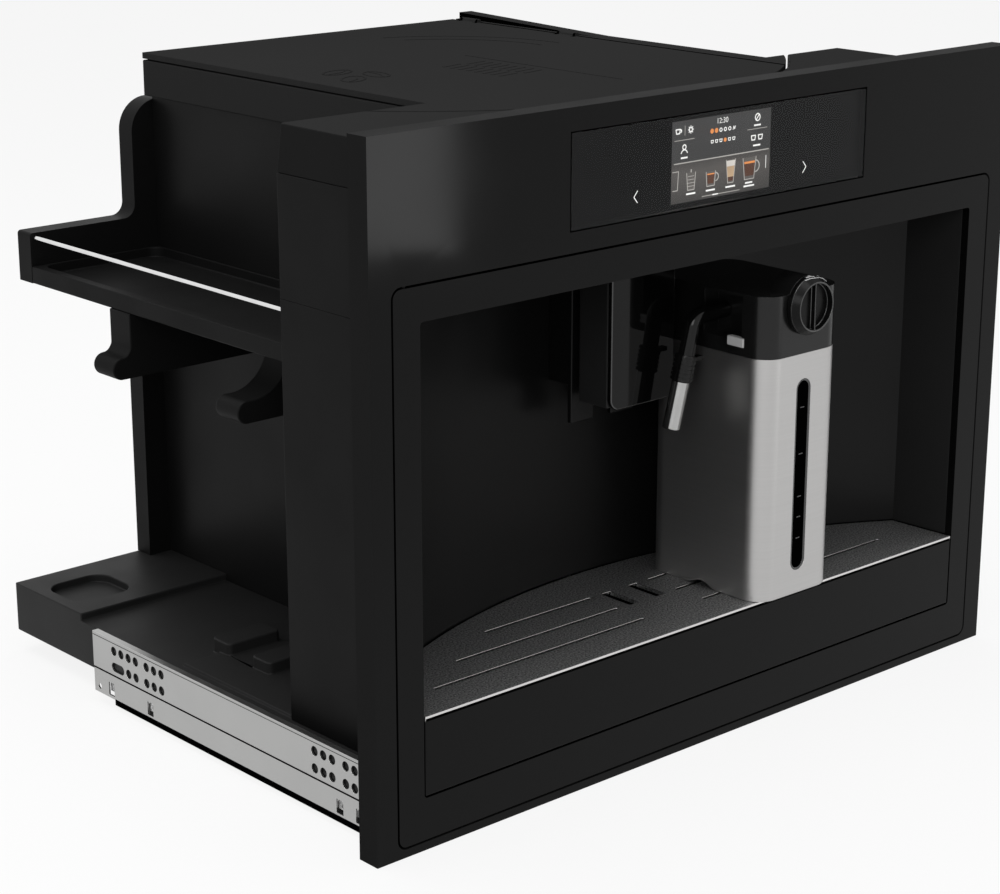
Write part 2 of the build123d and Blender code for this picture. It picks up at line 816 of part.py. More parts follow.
def case_screws():
    screws = []
    for x, z in screw_places():
        head = along_y(x, body_depth, body_depth + screw_head_height, z, screw_head_radius)
        shank = along_y(x, body_depth - screw_length, body_depth, z, screw_shank_radius)
        slot = block(x - 0.5, x + 0.5, body_depth + screw_head_height - 0.8,
                     body_depth + screw_head_height, z - 2.4, z + 2.4)
        screws.append(one(head + shank - slot))
    return Compound(screws)


# ---------------------------------------------------------------- left bay
def accessory_shelf():
    floor_top = shelf_bottom + shelf_floor
    low_top = shelf_bottom + shelf_low_wall
    shelf = block(shelf_left, body_left, column_rear, rear_plate_front, shelf_bottom, low_top)
    shelf -= plan_block(shelf_left + shelf_wall, body_left - 2, column_rear + 2, rear_plate_front - 2,
                        floor_top, low_top, 10)
    return one(shelf)


def shelf_rod():
    return one(along_y(rod_x, column_rear, rear_plate_front, rod_z, rod_radius))


def shelf_arms():
    """Two brackets under the shelf, each with a rounded nose that points out of the bay."""
    arms = []
    nose_top = arm_bottom + 2 * nose_radius
    root_x = rear_plate_left + 19.4
    for y, neck_x in arm_places:
        bend_z = nose_top + min(neck_x - nose_x, shelf_bottom - nose_top)
        with BuildSketch(Plane.XZ) as profile:
            with BuildLine():
                if bend_z < shelf_bottom:
                    Line((neck_x, shelf_bottom), (neck_x, bend_z))
                TangentArc((neck_x, bend_z), (nose_x, nose_top), tangent=(0, -1))
                ThreePointArc((nose_x, nose_top), (nose_x - nose_radius, arm_bottom + nose_radius),
                              (nose_x, arm_bottom))
                Line((nose_x, arm_bottom), (root_x, arm_bottom))
                Line((root_x, arm_bottom), (root_x, shelf_bottom))
                Line((root_x, shelf_bottom), (neck_x, shelf_bottom))
            make_face()
        arms.append(one(Pos(0, y, 0) * extrude(profile.sketch, -arm_width)))
    return Compound(arms)


# ---------------------------------------------------------------- base
def sill_space(z0, z1):
    """The plan of the drip tray's floor: the niche's width, and a part under the grounds container."""
    half = niche_half_width + 0.2
    space = block(-half, half, body_front, niche_depth + 2, z0, z1)
    return space + block(grounds_left - 4, grounds_right + 4, niche_depth, grounds_rear + 4, z0, z1)


def tray_sill():
    """The floor that the drip tray slides on, between the pan's sides."""
    sill = sill_space(pan_bottom, well_floor)
    inner = niche_half_width - 4
    sill -= block(-inner, inner, body_front + 4, niche_depth - 2, pan_bottom, well_floor - pan_skin)
    return one(sill)


def base_pan():
    pan = block(-pan_half_width, pan_half_width, body_front, body_depth, pan_bottom, pan_top)
    pan += pan_rear_part()
    pan += block(-262, body_left, column_rear, 257, pan_top, pan_top + pan_plate)
    pan -= sill_space(pan_bottom, pan_top)
    inner = pan_half_width - 4
    for x0, x1 in ((-inner, grounds_left - 8), (grounds_right + 8, inner)):
        pan -= block(x0, x1, niche_depth + 6, pan_step_y, pan_bottom, pan_bottom + pan_relief)
    pan -= block(-inner, inner, pan_step_y + 4, body_depth - 4, pan_bottom, pan_bottom + pan_relief)
    pan -= plan_block(recess_left, recess_left + recess_width, recess_front, recess_front + recess_length,
                      pan_rear_top - recess_depth, pan_rear_top, recess_corner)
    for y0, x1 in ((246.0, -186.0), (199.0, -160.0)):
        pan += plan_block(-231, x1, y0, y0 + 21, pan_top, pan_top + pan_plate + bar_height, 4)
    return one(pan)


# ---------------------------------------------------------------- rails
def rail_outer(side):
    face = rail_outer_face
    web = between(side, face - rail_sheet, face, rail_front, rail_rear, rail_seam + 0.3, rail_top)
    web += between(side, face - 5, face, rail_front, rail_rear, rail_top - 1.2, rail_top)
    for row, z in enumerate(rail_hole_rows):
        for group, (start, count) in enumerate(rail_hole_groups):
            for i in range(count):
                y = start - i * rail_hole_pitch
                if row == 1 and group == 0 and i < 2:
                    continue
                web -= along_x(side * face - 8, side * face + 8, y, z, rail_hole_radius)
    slot_mid = rail_hole_groups[0][0] - rail_hole_pitch / 2
    slot = extrude(Plane.YZ * SlotCenterToCenter(rail_hole_pitch, 2 * rail_hole_radius), 16, both=True)
    web -= Pos(side * face, slot_mid, rail_hole_rows[1]) * slot
    bracket = between(side, face - rail_sheet, face, rail_front, rail_rear - 0.2, 8.0, rail_seam)
    bracket += between(side, face - 18, face, rail_front, rail_rear - 26, rail_bottom,
                       rail_bottom + rail_sheet)
    bracket += between(side, face - rail_sheet, face, rail_front, rail_rear - 26, rail_bottom, 9.0)
    bracket -= along_x(side * face - 8, side * face + 8, rail_rear - 6.7, 13, 2.2)
    for y in (323.0, 274.0, 60.0, 40.0):
        bracket -= between(side, face - rail_sheet, face, y - 3.6, y + 3.6, 10.0, 20.0)
    rivets = between(side, face - rail_sheet, face - rail_sheet * 0.4, rail_front, rail_rear,
                     rail_seam - 0.1, rail_seam + 0.4)
    return one(web + bracket + rivets)


def rail_middle(side):
    far = rail_middle_outer
    near = far - rail_middle_width
    bar = between(side, near, far, rail_front, rail_rear - 8, 29.0, 51.5)
    bar -= between(side, near, far - 2, rail_front, rail_rear - 8, 33.0, 47.5)
    return one(bar)


def rail_inner(side):
    far = rail_inner_outer
    bar = between(side, pan_half_width, far, rail_front, rail_rear - 14, 19.0, 47.0)
    return one(bar)


# ---------------------------------------------------------------- inside
def inner_chassis():
    plate_x = brew_left - chassis_sheet
    rear = rear_plate_front - chassis_margin
    plate = block(plate_x, brew_left, niche_depth + 8, rear, pan_top, pan_top + chassis_height)
    plate -= pan_rear_part()
    shelf = block(body_left + wall_sheet, brew_left, 210, rear,
                  chassis_shelf_top - chassis_sheet, chassis_shelf_top)
    shelf -= upright(grinder_x, pump_y, chassis_shelf_top - 5, chassis_shelf_top + 5, 6)
    return one(plate + shelf)


def bean_hopper():
    hopper = plan_block(hopper_left, hopper_right, hopper_front, hopper_rear, hopper_bottom,
                        frame_top - frame_plate, 10)
    hopper -= plan_block(hopper_left + 2, hopper_right - 2, hopper_front + 2, hopper_rear - 2,
                         hopper_bottom + 20, frame_top - frame_plate, 8)
    hopper -= upright(grinder_x, grinder_y, hopper_bottom, hopper_bottom + 20, 22)
    funnel = Pos(grinder_x, grinder_y, hopper_bottom + 14) * Cone(24, 46, 14)
    hopper -= funnel
    hopper -= upright(dial_x, dial_y, hopper_bottom + 1, frame_top, 16.3)
    return one(hopper)


def grind_dial():
    dial = upright(dial_x, dial_y, hopper_bottom + 40, frame_top - 3, 15)
    dial += upright(dial_x, dial_y, hopper_bottom + 1 + running_gap, hopper_bottom + 40, 5)
    dial -= block(dial_x - 20, dial_x - 3, dial_y - 20, dial_y + 20, frame_top - 9, frame_top)
    dial -= block(dial_x + 3, dial_x + 20, dial_y - 20, dial_y + 20, frame_top - 9, frame_top)
    return one(dial)


def grinder_housing():
    housing = upright(grinder_x, grinder_y, grinder_base, hopper_bottom, grinder_radius)
    housing -= upright(grinder_x, grinder_y, hopper_bottom - 40, hopper_bottom, 32)
    housing += upright(grinder_x, grinder_y, hopper_bottom - 18, hopper_bottom - 10, 33)
    housing -= Pos(grinder_x, grinder_y, hopper_bottom - 9) * Cone(16, 24, 18)
    housing -= upright(grinder_x, grinder_y, hopper_bottom - 18, hopper_bottom - 9, 16)
    housing -= upright(grinder_x, grinder_y, grinder_base, hopper_bottom - 30, 4.05)
    housing += upright(grinder_x, grinder_y, chassis_shelf_top, grinder_base, motor_radius)
    return one(housing)


def lower_burr():
    burr = upright(grinder_x, grinder_y, hopper_bottom - 32, hopper_bottom - 20, 28)
    burr += upright(grinder_x, grinder_y, grinder_base + 0.5, hopper_bottom - 32, 4.0)
    for i in range(12):
        groove = Pos(0, 0, hopper_bottom - 20) * Rot(0, 0, i * 30) * Pos(18, 0, 0) * Box(22, 2, 3)
        burr -= Pos(grinder_x, grinder_y, 0) * groove
    return one(burr)


def brew_unit():
    unit = plan_block(brew_left, brew_right, brew_front, brew_rear, brew_bottom, brew_top, 8)
    cx = (brew_left + brew_right) / 2
    cy = (brew_front + brew_rear) / 2
    unit -= upright(cx, cy, brew_bottom + 30, brew_top, piston_radius + 0.06)
    unit -= block(brew_left + 12, brew_right - 12, brew_front, brew_front + 10, brew_bottom, brew_bottom + 40)
    return one(unit)


def brew_piston():
    cx = (brew_left + brew_right) / 2
    cy = (brew_front + brew_rear) / 2
    piston = upright(cx, cy, brew_bottom + 70, brew_bottom + 96, piston_radius)
    piston += upright(cx, cy, brew_bottom + 96, brew_top + 8, 9)
    return one(piston)


def boiler():
    y = boiler_y
    body = upright(grinder_x, y, chassis_shelf_top + 8, boiler_top, boiler_radius)
    for angle in (45, 135, 225, 315):
        x = grinder_x + 28 * math.cos(math.radians(angle))
        foot_y = y + 28 * math.sin(math.radians(angle))
        body += upright(x, foot_y, chassis_shelf_top, chassis_shelf_top + 9, 4)
    body += along_x(grinder_x + boiler_radius - 4, grinder_x + boiler_radius + 14, y,
                    boiler_top - 25, 10)
    return one(body)


def pump():
    y = pump_y
    body = block(grinder_x - 26, grinder_x + 26, y - 26, y + 26, pan_rear_top, pan_rear_top + 8)
    body += upright(grinder_x, y, pan_rear_top + 8, pan_rear_top + 62, 22)
    body += upright(grinder_x, y, pan_rear_top + 62, pan_rear_top + 80, 6)
    return one(body)


def inner_hoses():
    riser = upright(grinder_x, pump_y, pan_rear_top + 80, chassis_shelf_top + 8, 5)
    cx = (brew_left + brew_right) / 2 + 36
    route = FilletPolyline((grinder_x, boiler_y, boiler_top), (grinder_x, boiler_y, hose_z), (4, 290, hose_z),
                           (4, 190, hose_z), (cx, 190, hose_z), (cx, 190, brew_top), radius=hose_bend)
    section = Plane(origin=(grinder_x, boiler_y, boiler_top), z_dir=(0, 0, 1)) * Circle(4)
    return Compound([one(riser), one(sweep(section, route))])


def water_tank():
    tank = hollow_box(tank_left, tank_right, tank_front, tank_rear, pan_rear_top, tank_top, tank_wall, 14)
    foot = block(tank_left + 10, tank_right - 10, tank_front + 10, pan_step_y - 5, pan_top, pan_rear_top)
    return one(tank + foot)


def main_board():
    wall = body_left + wall_sheet
    x = wall + board_gap
    face = x + board_thickness
    rear = board_front + board_length
    top = board_bottom + board_height
    board = block(x, face, board_front, rear, board_bottom, top)
    for y in (board_front + 10, rear - 10):
        for z in (board_bottom + 8, top - 8):
            board += along_x(wall, x + 0.5, y, z, 3)
    chips = ((40, 38, 40, 30, 22), (100, 38, 30, 44, 14), (160, 28, 34, 26, 26))
    for along, up, width, height, depth in chips:
        y, z = board_front + along, board_bottom + up
        board += block(face, face + depth, y - width / 2, y + width / 2, z - height / 2, z + height / 2)
    return one(board)


def power_inlet():
    depth = 24.0
    frame = block(inlet_x - 22, inlet_x + 42, body_depth - depth, body_depth, inlet_z - 16, inlet_z + 16)
    frame -= block(inlet_x + 8, inlet_x + 36, body_depth - 16, body_depth, inlet_z - 11, inlet_z + 11)
    for offset in (-7, 0, 7):
        pin = block(inlet_x + 21 + offset, inlet_x + 23 + offset, body_depth - 17, body_depth - 3,
                    inlet_z - 3, inlet_z + 3)
        frame += pin
    frame -= block(inlet_x - 18, inlet_x + 2, body_depth - 18, body_depth, inlet_z - 12, inlet_z + 12)
    frame -= along_x(inlet_x - 20, inlet_x + 4, body_depth - 8, inlet_z, 2.05)
    return one(frame)


def mains_switch():
    y = body_depth - 8
    with BuildSketch(Plane.YZ) as profile:
        with BuildLine():
            Polyline((y - 3, inlet_z - 10), (y + 3, inlet_z - 10), (y + 5, inlet_z),
                     (y + 6.5, inlet_z + 9), (y + 3, inlet_z + 10), (y - 4, inlet_z + 3), close=True)
        make_face()
    rocker = Pos(inlet_x - 17.5, 0, 0) * extrude(profile.sketch, 19)
    rocker += along_x(inlet_x - 19.8, inlet_x + 3.8, y, inlet_z, 2)
    return one(rocker)


def parts():
    made = {
        "front_panel": front_panel(),
        "control_glass": control_glass(),
        "display_module": display_module(),
        "door_frame": door_frame(),
        "niche_shell": niche_shell(),
        "spout_guide": spout_guide(),
        "milk_dock": milk_dock(),
        "spout_body": spout_body(),
        "spout_plate": spout_plate(),
        "coffee_nozzles": coffee_nozzles(),
        "jug_shell": jug_shell(),
        "jug_liner": jug_liner(),
        "jug_lid": jug_lid(),
        "suction_tube": suction_tube(),
        "left_release_button": release_button(-1),
        "right_release_button": release_button(1),
        "froth_knob": froth_knob(),
        "milk_pipe": milk_pipe(),
        "pipe_collar": pipe_collar(),
        "pipe_tip": pipe_tip(),
        "tray_fascia": tray_fascia(),
        "drip_grate": drip_grate(),
        "drip_tray": drip_tray(),
        "grounds_container": grounds_container(),
        "left_column_lower": column_cover(-1, pan_top, column_seam_low, body_left),
        "left_column_upper": column_cover(-1, column_seam_low, column_seam_high, body_left),
        "right_column_lower": column_cover(1, pan_top, column_seam_low, body_right),
        "right_column_upper": column_cover(1, column_seam_low, column_seam_high, body_right),
        "front_top_cover": front_top_cover(),
        "top_lid": top_lid(),
        "hinge_strip": hinge_strip(),
        "top_frame": top_frame(),
        "left_wall": left_wall(),
        "right_wall": right_wall(),
        "rear_plate": rear_plate(),
        "case_screws": case_screws(),
        "accessory_shelf": accessory_shelf(),
        "shelf_rod": shelf_rod(),
        "shelf_arms": shelf_arms(),
        "base_pan": base_pan(),
        "tray_sill": tray_sill(),
        "inner_chassis": inner_chassis(),
        "bean_hopper": bean_hopper(),
        "grind_dial": grind_dial(),
        "grinder_housing": grinder_housing(),
        "lower_burr": lower_burr(),
        "brew_unit": brew_unit(),
        "brew_piston": brew_piston(),
        "boiler": boiler(),
        "pump": pump(),
        "inner_hoses": inner_hoses(),
        "water_tank": water_tank(),
        "main_board": main_board(),
        "power_inlet": power_inlet(),
        "mains_switch": mains_switch(),
    }
    for side, name in ((-1, "left"), (1, "right")):
        made[name + "_rail_outer"] = rail_outer(side)
        made[name + "_rail_middle"] = rail_middle(side)
        made[name + "_rail_inner"] = rail_inner(side)
    return made


def main():
    os.makedirs("parts", exist_ok=True)
    for name, shape in parts().items():
        export_step(Pos(0, shift_y, 0) * shape, "parts/%s.step" % name)


if __name__ == "__main__":
    main()
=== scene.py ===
import json
import math

import bmesh
import bpy
from mathutils import Matrix, Vector


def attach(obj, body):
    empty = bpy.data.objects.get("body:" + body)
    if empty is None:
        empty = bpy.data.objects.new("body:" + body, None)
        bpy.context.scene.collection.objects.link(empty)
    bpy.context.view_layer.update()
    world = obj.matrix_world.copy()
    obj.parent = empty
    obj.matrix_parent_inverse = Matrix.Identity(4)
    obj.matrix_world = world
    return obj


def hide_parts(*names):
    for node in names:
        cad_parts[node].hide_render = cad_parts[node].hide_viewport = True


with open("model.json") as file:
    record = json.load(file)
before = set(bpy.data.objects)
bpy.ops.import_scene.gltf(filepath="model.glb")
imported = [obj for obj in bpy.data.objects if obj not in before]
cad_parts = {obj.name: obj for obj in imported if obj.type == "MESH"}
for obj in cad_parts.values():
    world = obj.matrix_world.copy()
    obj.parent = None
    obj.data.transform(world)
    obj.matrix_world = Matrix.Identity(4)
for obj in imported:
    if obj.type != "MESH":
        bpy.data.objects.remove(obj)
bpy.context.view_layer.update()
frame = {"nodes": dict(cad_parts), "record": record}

FRONT = -228.75          # mm along Y from the part's origin to the front panel's face
NODE_BODY = {n: b for b, ns in frame["record"]["behaviour"]["bodies"].items() for n in ns}
finishes = {}

# places shared by the drawn details, in millimetres from the panel's middle, front face and lower edge
SCREEN_LOW, SCREEN_HIGH = 382.4, 435.4
SCREEN_FACE = 3.80       # depth of the display's signs behind the glass
WINDOW_X = 79            # middle of the jug's level window, and of the knob above it
WINDOW_Y = -4.28         # depth of the window's dark strip
KNOB_Z = 298.5
KNOB_RADIUS = 20.62
LID_TOP = 443.05
RAIL_FACE = 280.0
SIDES = {-1: "left", 1: "right"}


# ---------------------------------------------------------------- finishes
def link(tree, source, target):
    tree.links.new(source, target)


def pattern(tree, scale, detail=2.0, stretch=(1, 1, 1), turn=(0, 0, 0)):
    """A noise pattern on the piece's own coordinates, as an output that runs from 0 to 1."""
    coords = tree.nodes.new("ShaderNodeTexCoord")
    mapping = tree.nodes.new("ShaderNodeMapping")
    mapping.inputs["Scale"].default_value = stretch
    mapping.inputs["Rotation"].default_value = turn
    noise = tree.nodes.new("ShaderNodeTexNoise")
    noise.inputs["Scale"].default_value = scale
    noise.inputs["Detail"].default_value = detail
    link(tree, coords.outputs["Object"], mapping.inputs["Vector"])
    link(tree, mapping.outputs["Vector"], noise.inputs["Vector"])
    return noise.outputs["Fac"]


def spread(tree, source, low, high):
    """The pattern's middle range stretched to run between two values."""
    node = tree.nodes.new("ShaderNodeMapRange")
    node.inputs["From Min"].default_value = 0.3
    node.inputs["From Max"].default_value = 0.7
    node.inputs["To Min"].default_value = low
    node.inputs["To Max"].default_value = high
    link(tree, source, node.inputs["Value"])
    return node.outputs["Result"]


def shades(tree, source, dark, light):
    """The pattern as a colour between two shades."""
    ramp = tree.nodes.new("ShaderNodeValToRGB")
    ramp.color_ramp.elements[0].position = 0.3
    ramp.color_ramp.elements[0].color = (*dark, 1)
    ramp.color_ramp.elements[1].position = 0.7
    ramp.color_ramp.elements[1].color = (*light, 1)
    link(tree, source, ramp.inputs["Fac"])
    return ramp.outputs["Color"]


def finish(name, colour, rough, metal=0.0, specular=0.5, vary=0.15, patch=12, grain=1500, depth=0.05,
           rough_vary=0.05, stretch=(1, 1, 1), coat=0.0, coat_rough=0.05, detail=2.0):
    """A surface with patchy colour and gloss and a fine relief."""
    material = bpy.data.materials.new(name)
    material.use_nodes = True
    tree = material.node_tree
    shader = tree.nodes["Principled BSDF"]
    shader.inputs["Metallic"].default_value = metal
    shader.inputs["Specular IOR Level"].default_value = specular
    shader.inputs["Coat Weight"].default_value = coat
    shader.inputs["Coat Roughness"].default_value = coat_rough
    if isinstance(colour, (int, float)):
        colour = (colour, colour, colour)
    dark = tuple(c * (1 - vary) for c in colour)
    light = tuple(min(1, c * (1 + vary)) for c in colour)
    link(tree, shades(tree, pattern(tree, patch, detail, stretch), dark, light), shader.inputs["Base Color"])
    gloss = pattern(tree, patch * 2.3, detail, stretch)
    link(tree, spread(tree, gloss, rough - rough_vary, rough + rough_vary), shader.inputs["Roughness"])
    relief = tree.nodes.new("ShaderNodeBump")
    relief.inputs["Strength"].default_value = 0.6
    relief.inputs["Distance"].default_value = depth / 1000
    link(tree, pattern(tree, grain, 2.0, stretch), relief.inputs["Height"])
    link(tree, relief.outputs["Normal"], shader.inputs["Normal"])
    finishes[name] = material
    return material


def glowing(name, colour, strength, low=0.85):
    """A lit part of the display, a little uneven as a real screen is."""
    material = bpy.data.materials.new(name)
    material.use_nodes = True
    tree = material.node_tree
    shader = tree.nodes["Principled BSDF"]
    shader.inputs["Roughness"].default_value = 0.4
    shader.inputs["Emission Strength"].default_value = strength
    shader.inputs["Base Color"].default_value = (0.01, 0.01, 0.01, 1)
    dark = tuple(c * low for c in colour)
    link(tree, shades(tree, pattern(tree, 40, 1.0), dark, colour), shader.inputs["Emission Color"])
    finishes[name] = material
    return material


finish("lacquer", 0.0026, 0.08, specular=0.10, vary=0.1, patch=5, grain=260, depth=0.003, rough_vary=0.02)
finish("moulded_housing", 0.0250, 0.60, specular=0.0, vary=0.03, patch=3, grain=2600, depth=0.05)
# painted shade: a matte copy of the housing at a shaded level, for faces turned away from the top or the front
finish("shaded_face_moulding", 0.0120, 0.55, specular=0.01, vary=0.04, patch=5, grain=2600, depth=0.04)
# black for real gaps and seams, and also painted shade on the hinge strip's left faces, the rails' underside
# strips and the grate's front edge
finish("gap_and_shade_black", 0.0008, 0.8, specular=0.0, vary=0.2, patch=9, grain=900, depth=0.02)
finish("column_housing", 0.0062, 0.50, specular=0.05, vary=0.05, patch=9, grain=2600, depth=0.04)
finish("painted_sheet", 0.0055, 0.42, specular=0.07, vary=0.05, patch=7, grain=1800, depth=0.03)
finish("pan_plastic", 0.0170, 0.52, specular=0.10, vary=0.12, patch=9, grain=2600, depth=0.05)
finish("niche_plastic", 0.0045, 0.34, specular=0.14, vary=0.06, patch=6, grain=1500, depth=0.02)
finish("tray_plastic", 0.0080, 0.45, specular=0.2, vary=0.15, patch=10, grain=2200, depth=0.04)
finish("satin_black", 0.0060, 0.22, specular=0.30, vary=0.2, patch=25, grain=1200, depth=0.008)
finish("gloss_black", 0.0018, 0.05, specular=0.16, vary=0.2, patch=20, grain=500, depth=0.002, rough_vary=0.02)
# painted highlight: a lighter, glossier copy of the black finishes, for rounded edges and the window's rim
finish("highlight_edge_gloss", 0.0120, 0.20, specular=0.85, vary=0.10, patch=40, grain=900, depth=0.004, rough_vary=0.03)
finish("grip_black", 0.0040, 0.26, specular=0.12, vary=0.15, patch=40, grain=1200, depth=0.006)
# painted light: the spout body's black raised to a lighter grey, standing in for light that the shaded spout
# doesn't get
finish("spout_lit_black", 0.0180, 0.36, specular=0.10, vary=0.10, patch=12, grain=1500, depth=0.01)
finish("pipe_gloss", 0.0030, 0.12, specular=0.24, vary=0.15, patch=60, grain=900, depth=0.004, rough_vary=0.03)
# painted light: a lighter copy of the niche plastic for the niche shell's faces turned to the left
finish("lit_return_plastic", 0.0150, 0.40, specular=0.10, vary=0.05, patch=6, grain=1500, depth=0.02)
finish("light_grey_key", 0.50, 0.35, specular=0.4, vary=0.06, patch=60, grain=2500, depth=0.02)
finish("brushed_steel", (0.46, 0.455, 0.45), 0.40, metal=1, vary=0.02, patch=14, grain=160, depth=0.0016,
       rough_vary=0.03, stretch=(0.5, 0.5, 60), detail=3)
# polished steel for the suction tube, burr and boiler; also painted highlight on the rails' rounded edges and
# on the grate's edges and front-facing faces
finish("polished_steel_and_highlight", (0.66, 0.65, 0.64), 0.14, metal=1, vary=0.08, patch=40, grain=900, depth=0.004)
finish("tip_steel", (0.40, 0.40, 0.395), 0.17, metal=1, vary=0.06, patch=60, grain=1500, depth=0.004)
finish("grate_metal", (0.42, 0.42, 0.42), 0.46, metal=1, vary=0.8, patch=800, grain=1000, depth=0.06,
       rough_vary=0.10)
finish("galvanised", (0.415, 0.415, 0.41), 0.32, metal=1, vary=0.02, patch=18, grain=900, depth=0.002,
       rough_vary=0.03)
finish("dark_rail", (0.020, 0.020, 0.020), 0.45, metal=1, vary=0.2, patch=160, grain=900, depth=0.010)
finish("chrome", (0.74, 0.74, 0.74), 0.07, metal=1, vary=0.05, patch=60, grain=500, depth=0.002,
       rough_vary=0.02)
finish("zinc_screw", (0.42, 0.42, 0.41), 0.35, metal=1, vary=0.2, patch=500, grain=1500, depth=0.02)
finish("smoke_plastic", (0.05, 0.05, 0.055), 0.16, specular=0.4, vary=0.15, patch=15, grain=900, depth=0.006)
finish("pale_plastic", (0.50, 0.50, 0.49), 0.38, specular=0.4, vary=0.08, patch=30, grain=1800, depth=0.02)
finish("silicone", (0.42, 0.42, 0.40), 0.55, specular=0.3, vary=0.12, patch=60, grain=900, depth=0.03)
finish("circuit_green", (0.010, 0.060, 0.024), 0.35, specular=0.5, vary=0.4, patch=220, grain=900, depth=0.03)
# white for the knob's printed sign and for the painted highlight on its rim
finish("white_sign_and_highlight", 0.62, 0.5, specular=0.3, vary=0.06, patch=80, grain=2500, depth=0.01)
finish("grey_mark", 0.08, 0.5, specular=0.3, vary=0.08, patch=80, grain=2500, depth=0.01)
glowing("screen_white", (0.94, 0.94, 0.92), 1.35)
glowing("screen_orange", (0.85, 0.30, 0.08), 1.2)
glowing("screen_cream", (0.72, 0.50, 0.30), 1.2, low=0.6)
glowing("screen_brown", (0.10, 0.034, 0.014), 1.2, low=0.6)
glowing("screen_milk", (0.78, 0.74, 0.68), 1.2, low=0.8)
glowing("screen_grey", (0.52, 0.50, 0.47), 1.1)
glowing("screen_dim", (0.13, 0.12, 0.11), 1.0)


def tinted_glass(name):
    """Dark cover glass: a clear tint seen through a mirror-like front."""
    material = bpy.data.materials.new(name)
    material.use_nodes = True
    tree = material.node_tree
    tree.nodes.remove(tree.nodes["Principled BSDF"])
    output = tree.nodes["Material Output"]
    clear = tree.nodes.new("ShaderNodeBsdfTransparent")
    mirror = tree.nodes.new("ShaderNodeBsdfGlossy")
    mirror.inputs["Color"].default_value = (0.75, 0.75, 0.76, 1)
    mix = tree.nodes.new("ShaderNodeMixShader")
    fresnel = tree.nodes.new("ShaderNodeFresnel")
    fresnel.inputs["IOR"].default_value = 1.27
    link(tree, shades(tree, pattern(tree, 8), (0.80, 0.80, 0.80), (0.84, 0.84, 0.84)), clear.inputs["Color"])
    link(tree, spread(tree, pattern(tree, 30), 0.015, 0.03), mirror.inputs["Roughness"])
    link(tree, fresnel.outputs["Fac"], mix.inputs["Fac"])
    link(tree, clear.outputs["BSDF"], mix.inputs[1])
    link(tree, mirror.outputs["BSDF"], mix.inputs[2])
    link(tree, mix.outputs["Shader"], output.inputs["Surface"])
    finishes[name] = material
    return material


tinted_glass("cover_glass")


def lit_screen(name):
    """The display's ground: grey at the top and a warmer band below."""
    material = bpy.data.materials.new(name)
    material.use_nodes = True
    tree = material.node_tree
    shader = tree.nodes["Principled BSDF"]
    shader.inputs["Roughness"].default_value = 0.3
    shader.inputs["Emission Strength"].default_value = 1.0
    shader.inputs["Base Color"].default_value = (0.01, 0.01, 0.01, 1)
    coords = tree.nodes.new("ShaderNodeTexCoord")
    parts = tree.nodes.new("ShaderNodeSeparateXYZ")
    height = tree.nodes.new("ShaderNodeMapRange")
    height.inputs["From Min"].default_value = 0.3815
    height.inputs["From Max"].default_value = 0.4365
    ramp = tree.nodes.new("ShaderNodeValToRGB")
    stops = ((0.0, 0.040), (0.12, 0.055), (0.36, 0.085), (0.47, 0.055), (0.49, 0.034), (1.0, 0.042))
    while len(ramp.color_ramp.elements) < len(stops):
        ramp.color_ramp.elements.new(0.5)
    for element, (place, level) in zip(ramp.color_ramp.elements, stops):
        element.position = place
        warm = 1.08 if place < 0.48 else 1.0
        element.color = (level * warm, level, level / warm, 1)
    link(tree, coords.outputs["Object"], parts.inputs["Vector"])
    link(tree, parts.outputs["Z"], height.inputs["Value"])
    link(tree, height.outputs["Result"], ramp.inputs["Fac"])
    link(tree, ramp.outputs["Color"], shader.inputs["Emission Color"])
    finishes[name] = material
    return material


lit_screen("screen_ground")


# ---------------------------------------------------------------- making pieces
def place(bm):
    """Moves a mesh drawn in millimetres from the panel's face to the part's own frame."""
    bmesh.ops.scale(bm, vec=(0.001, 0.001, 0.001), verts=bm.verts)
    bmesh.ops.translate(bm, vec=(0, FRONT / 1000, 0), verts=bm.verts)


def shown(bm, name, look, node, body=None, round_edges=0.0, steps=2, angle=30, stands_for=(), smooth=30,
          edge_look=None, part_look=None, part=None):
    """Makes an object of a mesh, gives it its finish and puts it on its body."""
    mesh = bpy.data.meshes.new(name)
    bm.normal_update()
    bm.to_mesh(mesh)
    bm.free()
    thing = bpy.data.objects.new(name, mesh)
    bpy.context.scene.collection.objects.link(thing)
    mesh.materials.append(finishes[look])
    if edge_look:
        mesh.materials.append(finishes[edge_look])
    if part_look:
        mesh.materials.append(finishes[part_look])
    for face in mesh.polygons:
        face.use_smooth = True
        if part and part(face.normal):
            face.material_index = len(mesh.materials) - 1
    mesh.set_sharp_from_angle(angle=math.radians(smooth))
    if round_edges:
        bevel = thing.modifiers.new("rounded", "BEVEL")
        bevel.width = round_edges / 1000
        bevel.segments = steps
        bevel.limit_method = "ANGLE"
        bevel.angle_limit = math.radians(angle)
        if edge_look:
            bevel.material = 1
    even = thing.modifiers.new("even", "WEIGHTED_NORMAL")
    even.keep_sharp = True
    even.weight = 100
    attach(thing, body or NODE_BODY[node])
    if stands_for:
        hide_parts(*stands_for)
    return thing


def drawn(bm, name, look, node, **more):
    """A new piece that was drawn in millimetres."""
    bmesh.ops.recalc_face_normals(bm, faces=bm.faces)
    place(bm)
    return shown(bm, name, look, node, **more)


def merged(node):
    """A copy of a CAD node's mesh with its loose triangles joined into flat, simple faces."""
    bm = bmesh.new()
    bm.from_mesh(frame["nodes"][node].data)
    bmesh.ops.remove_doubles(bm, verts=bm.verts, dist=2e-6)
    bmesh.ops.dissolve_limit(bm, angle_limit=math.radians(0.4), verts=bm.verts, edges=bm.edges,
                             use_dissolve_boundaries=False)
    bmesh.ops.connect_verts_concave(bm, faces=bm.faces)
    return bm


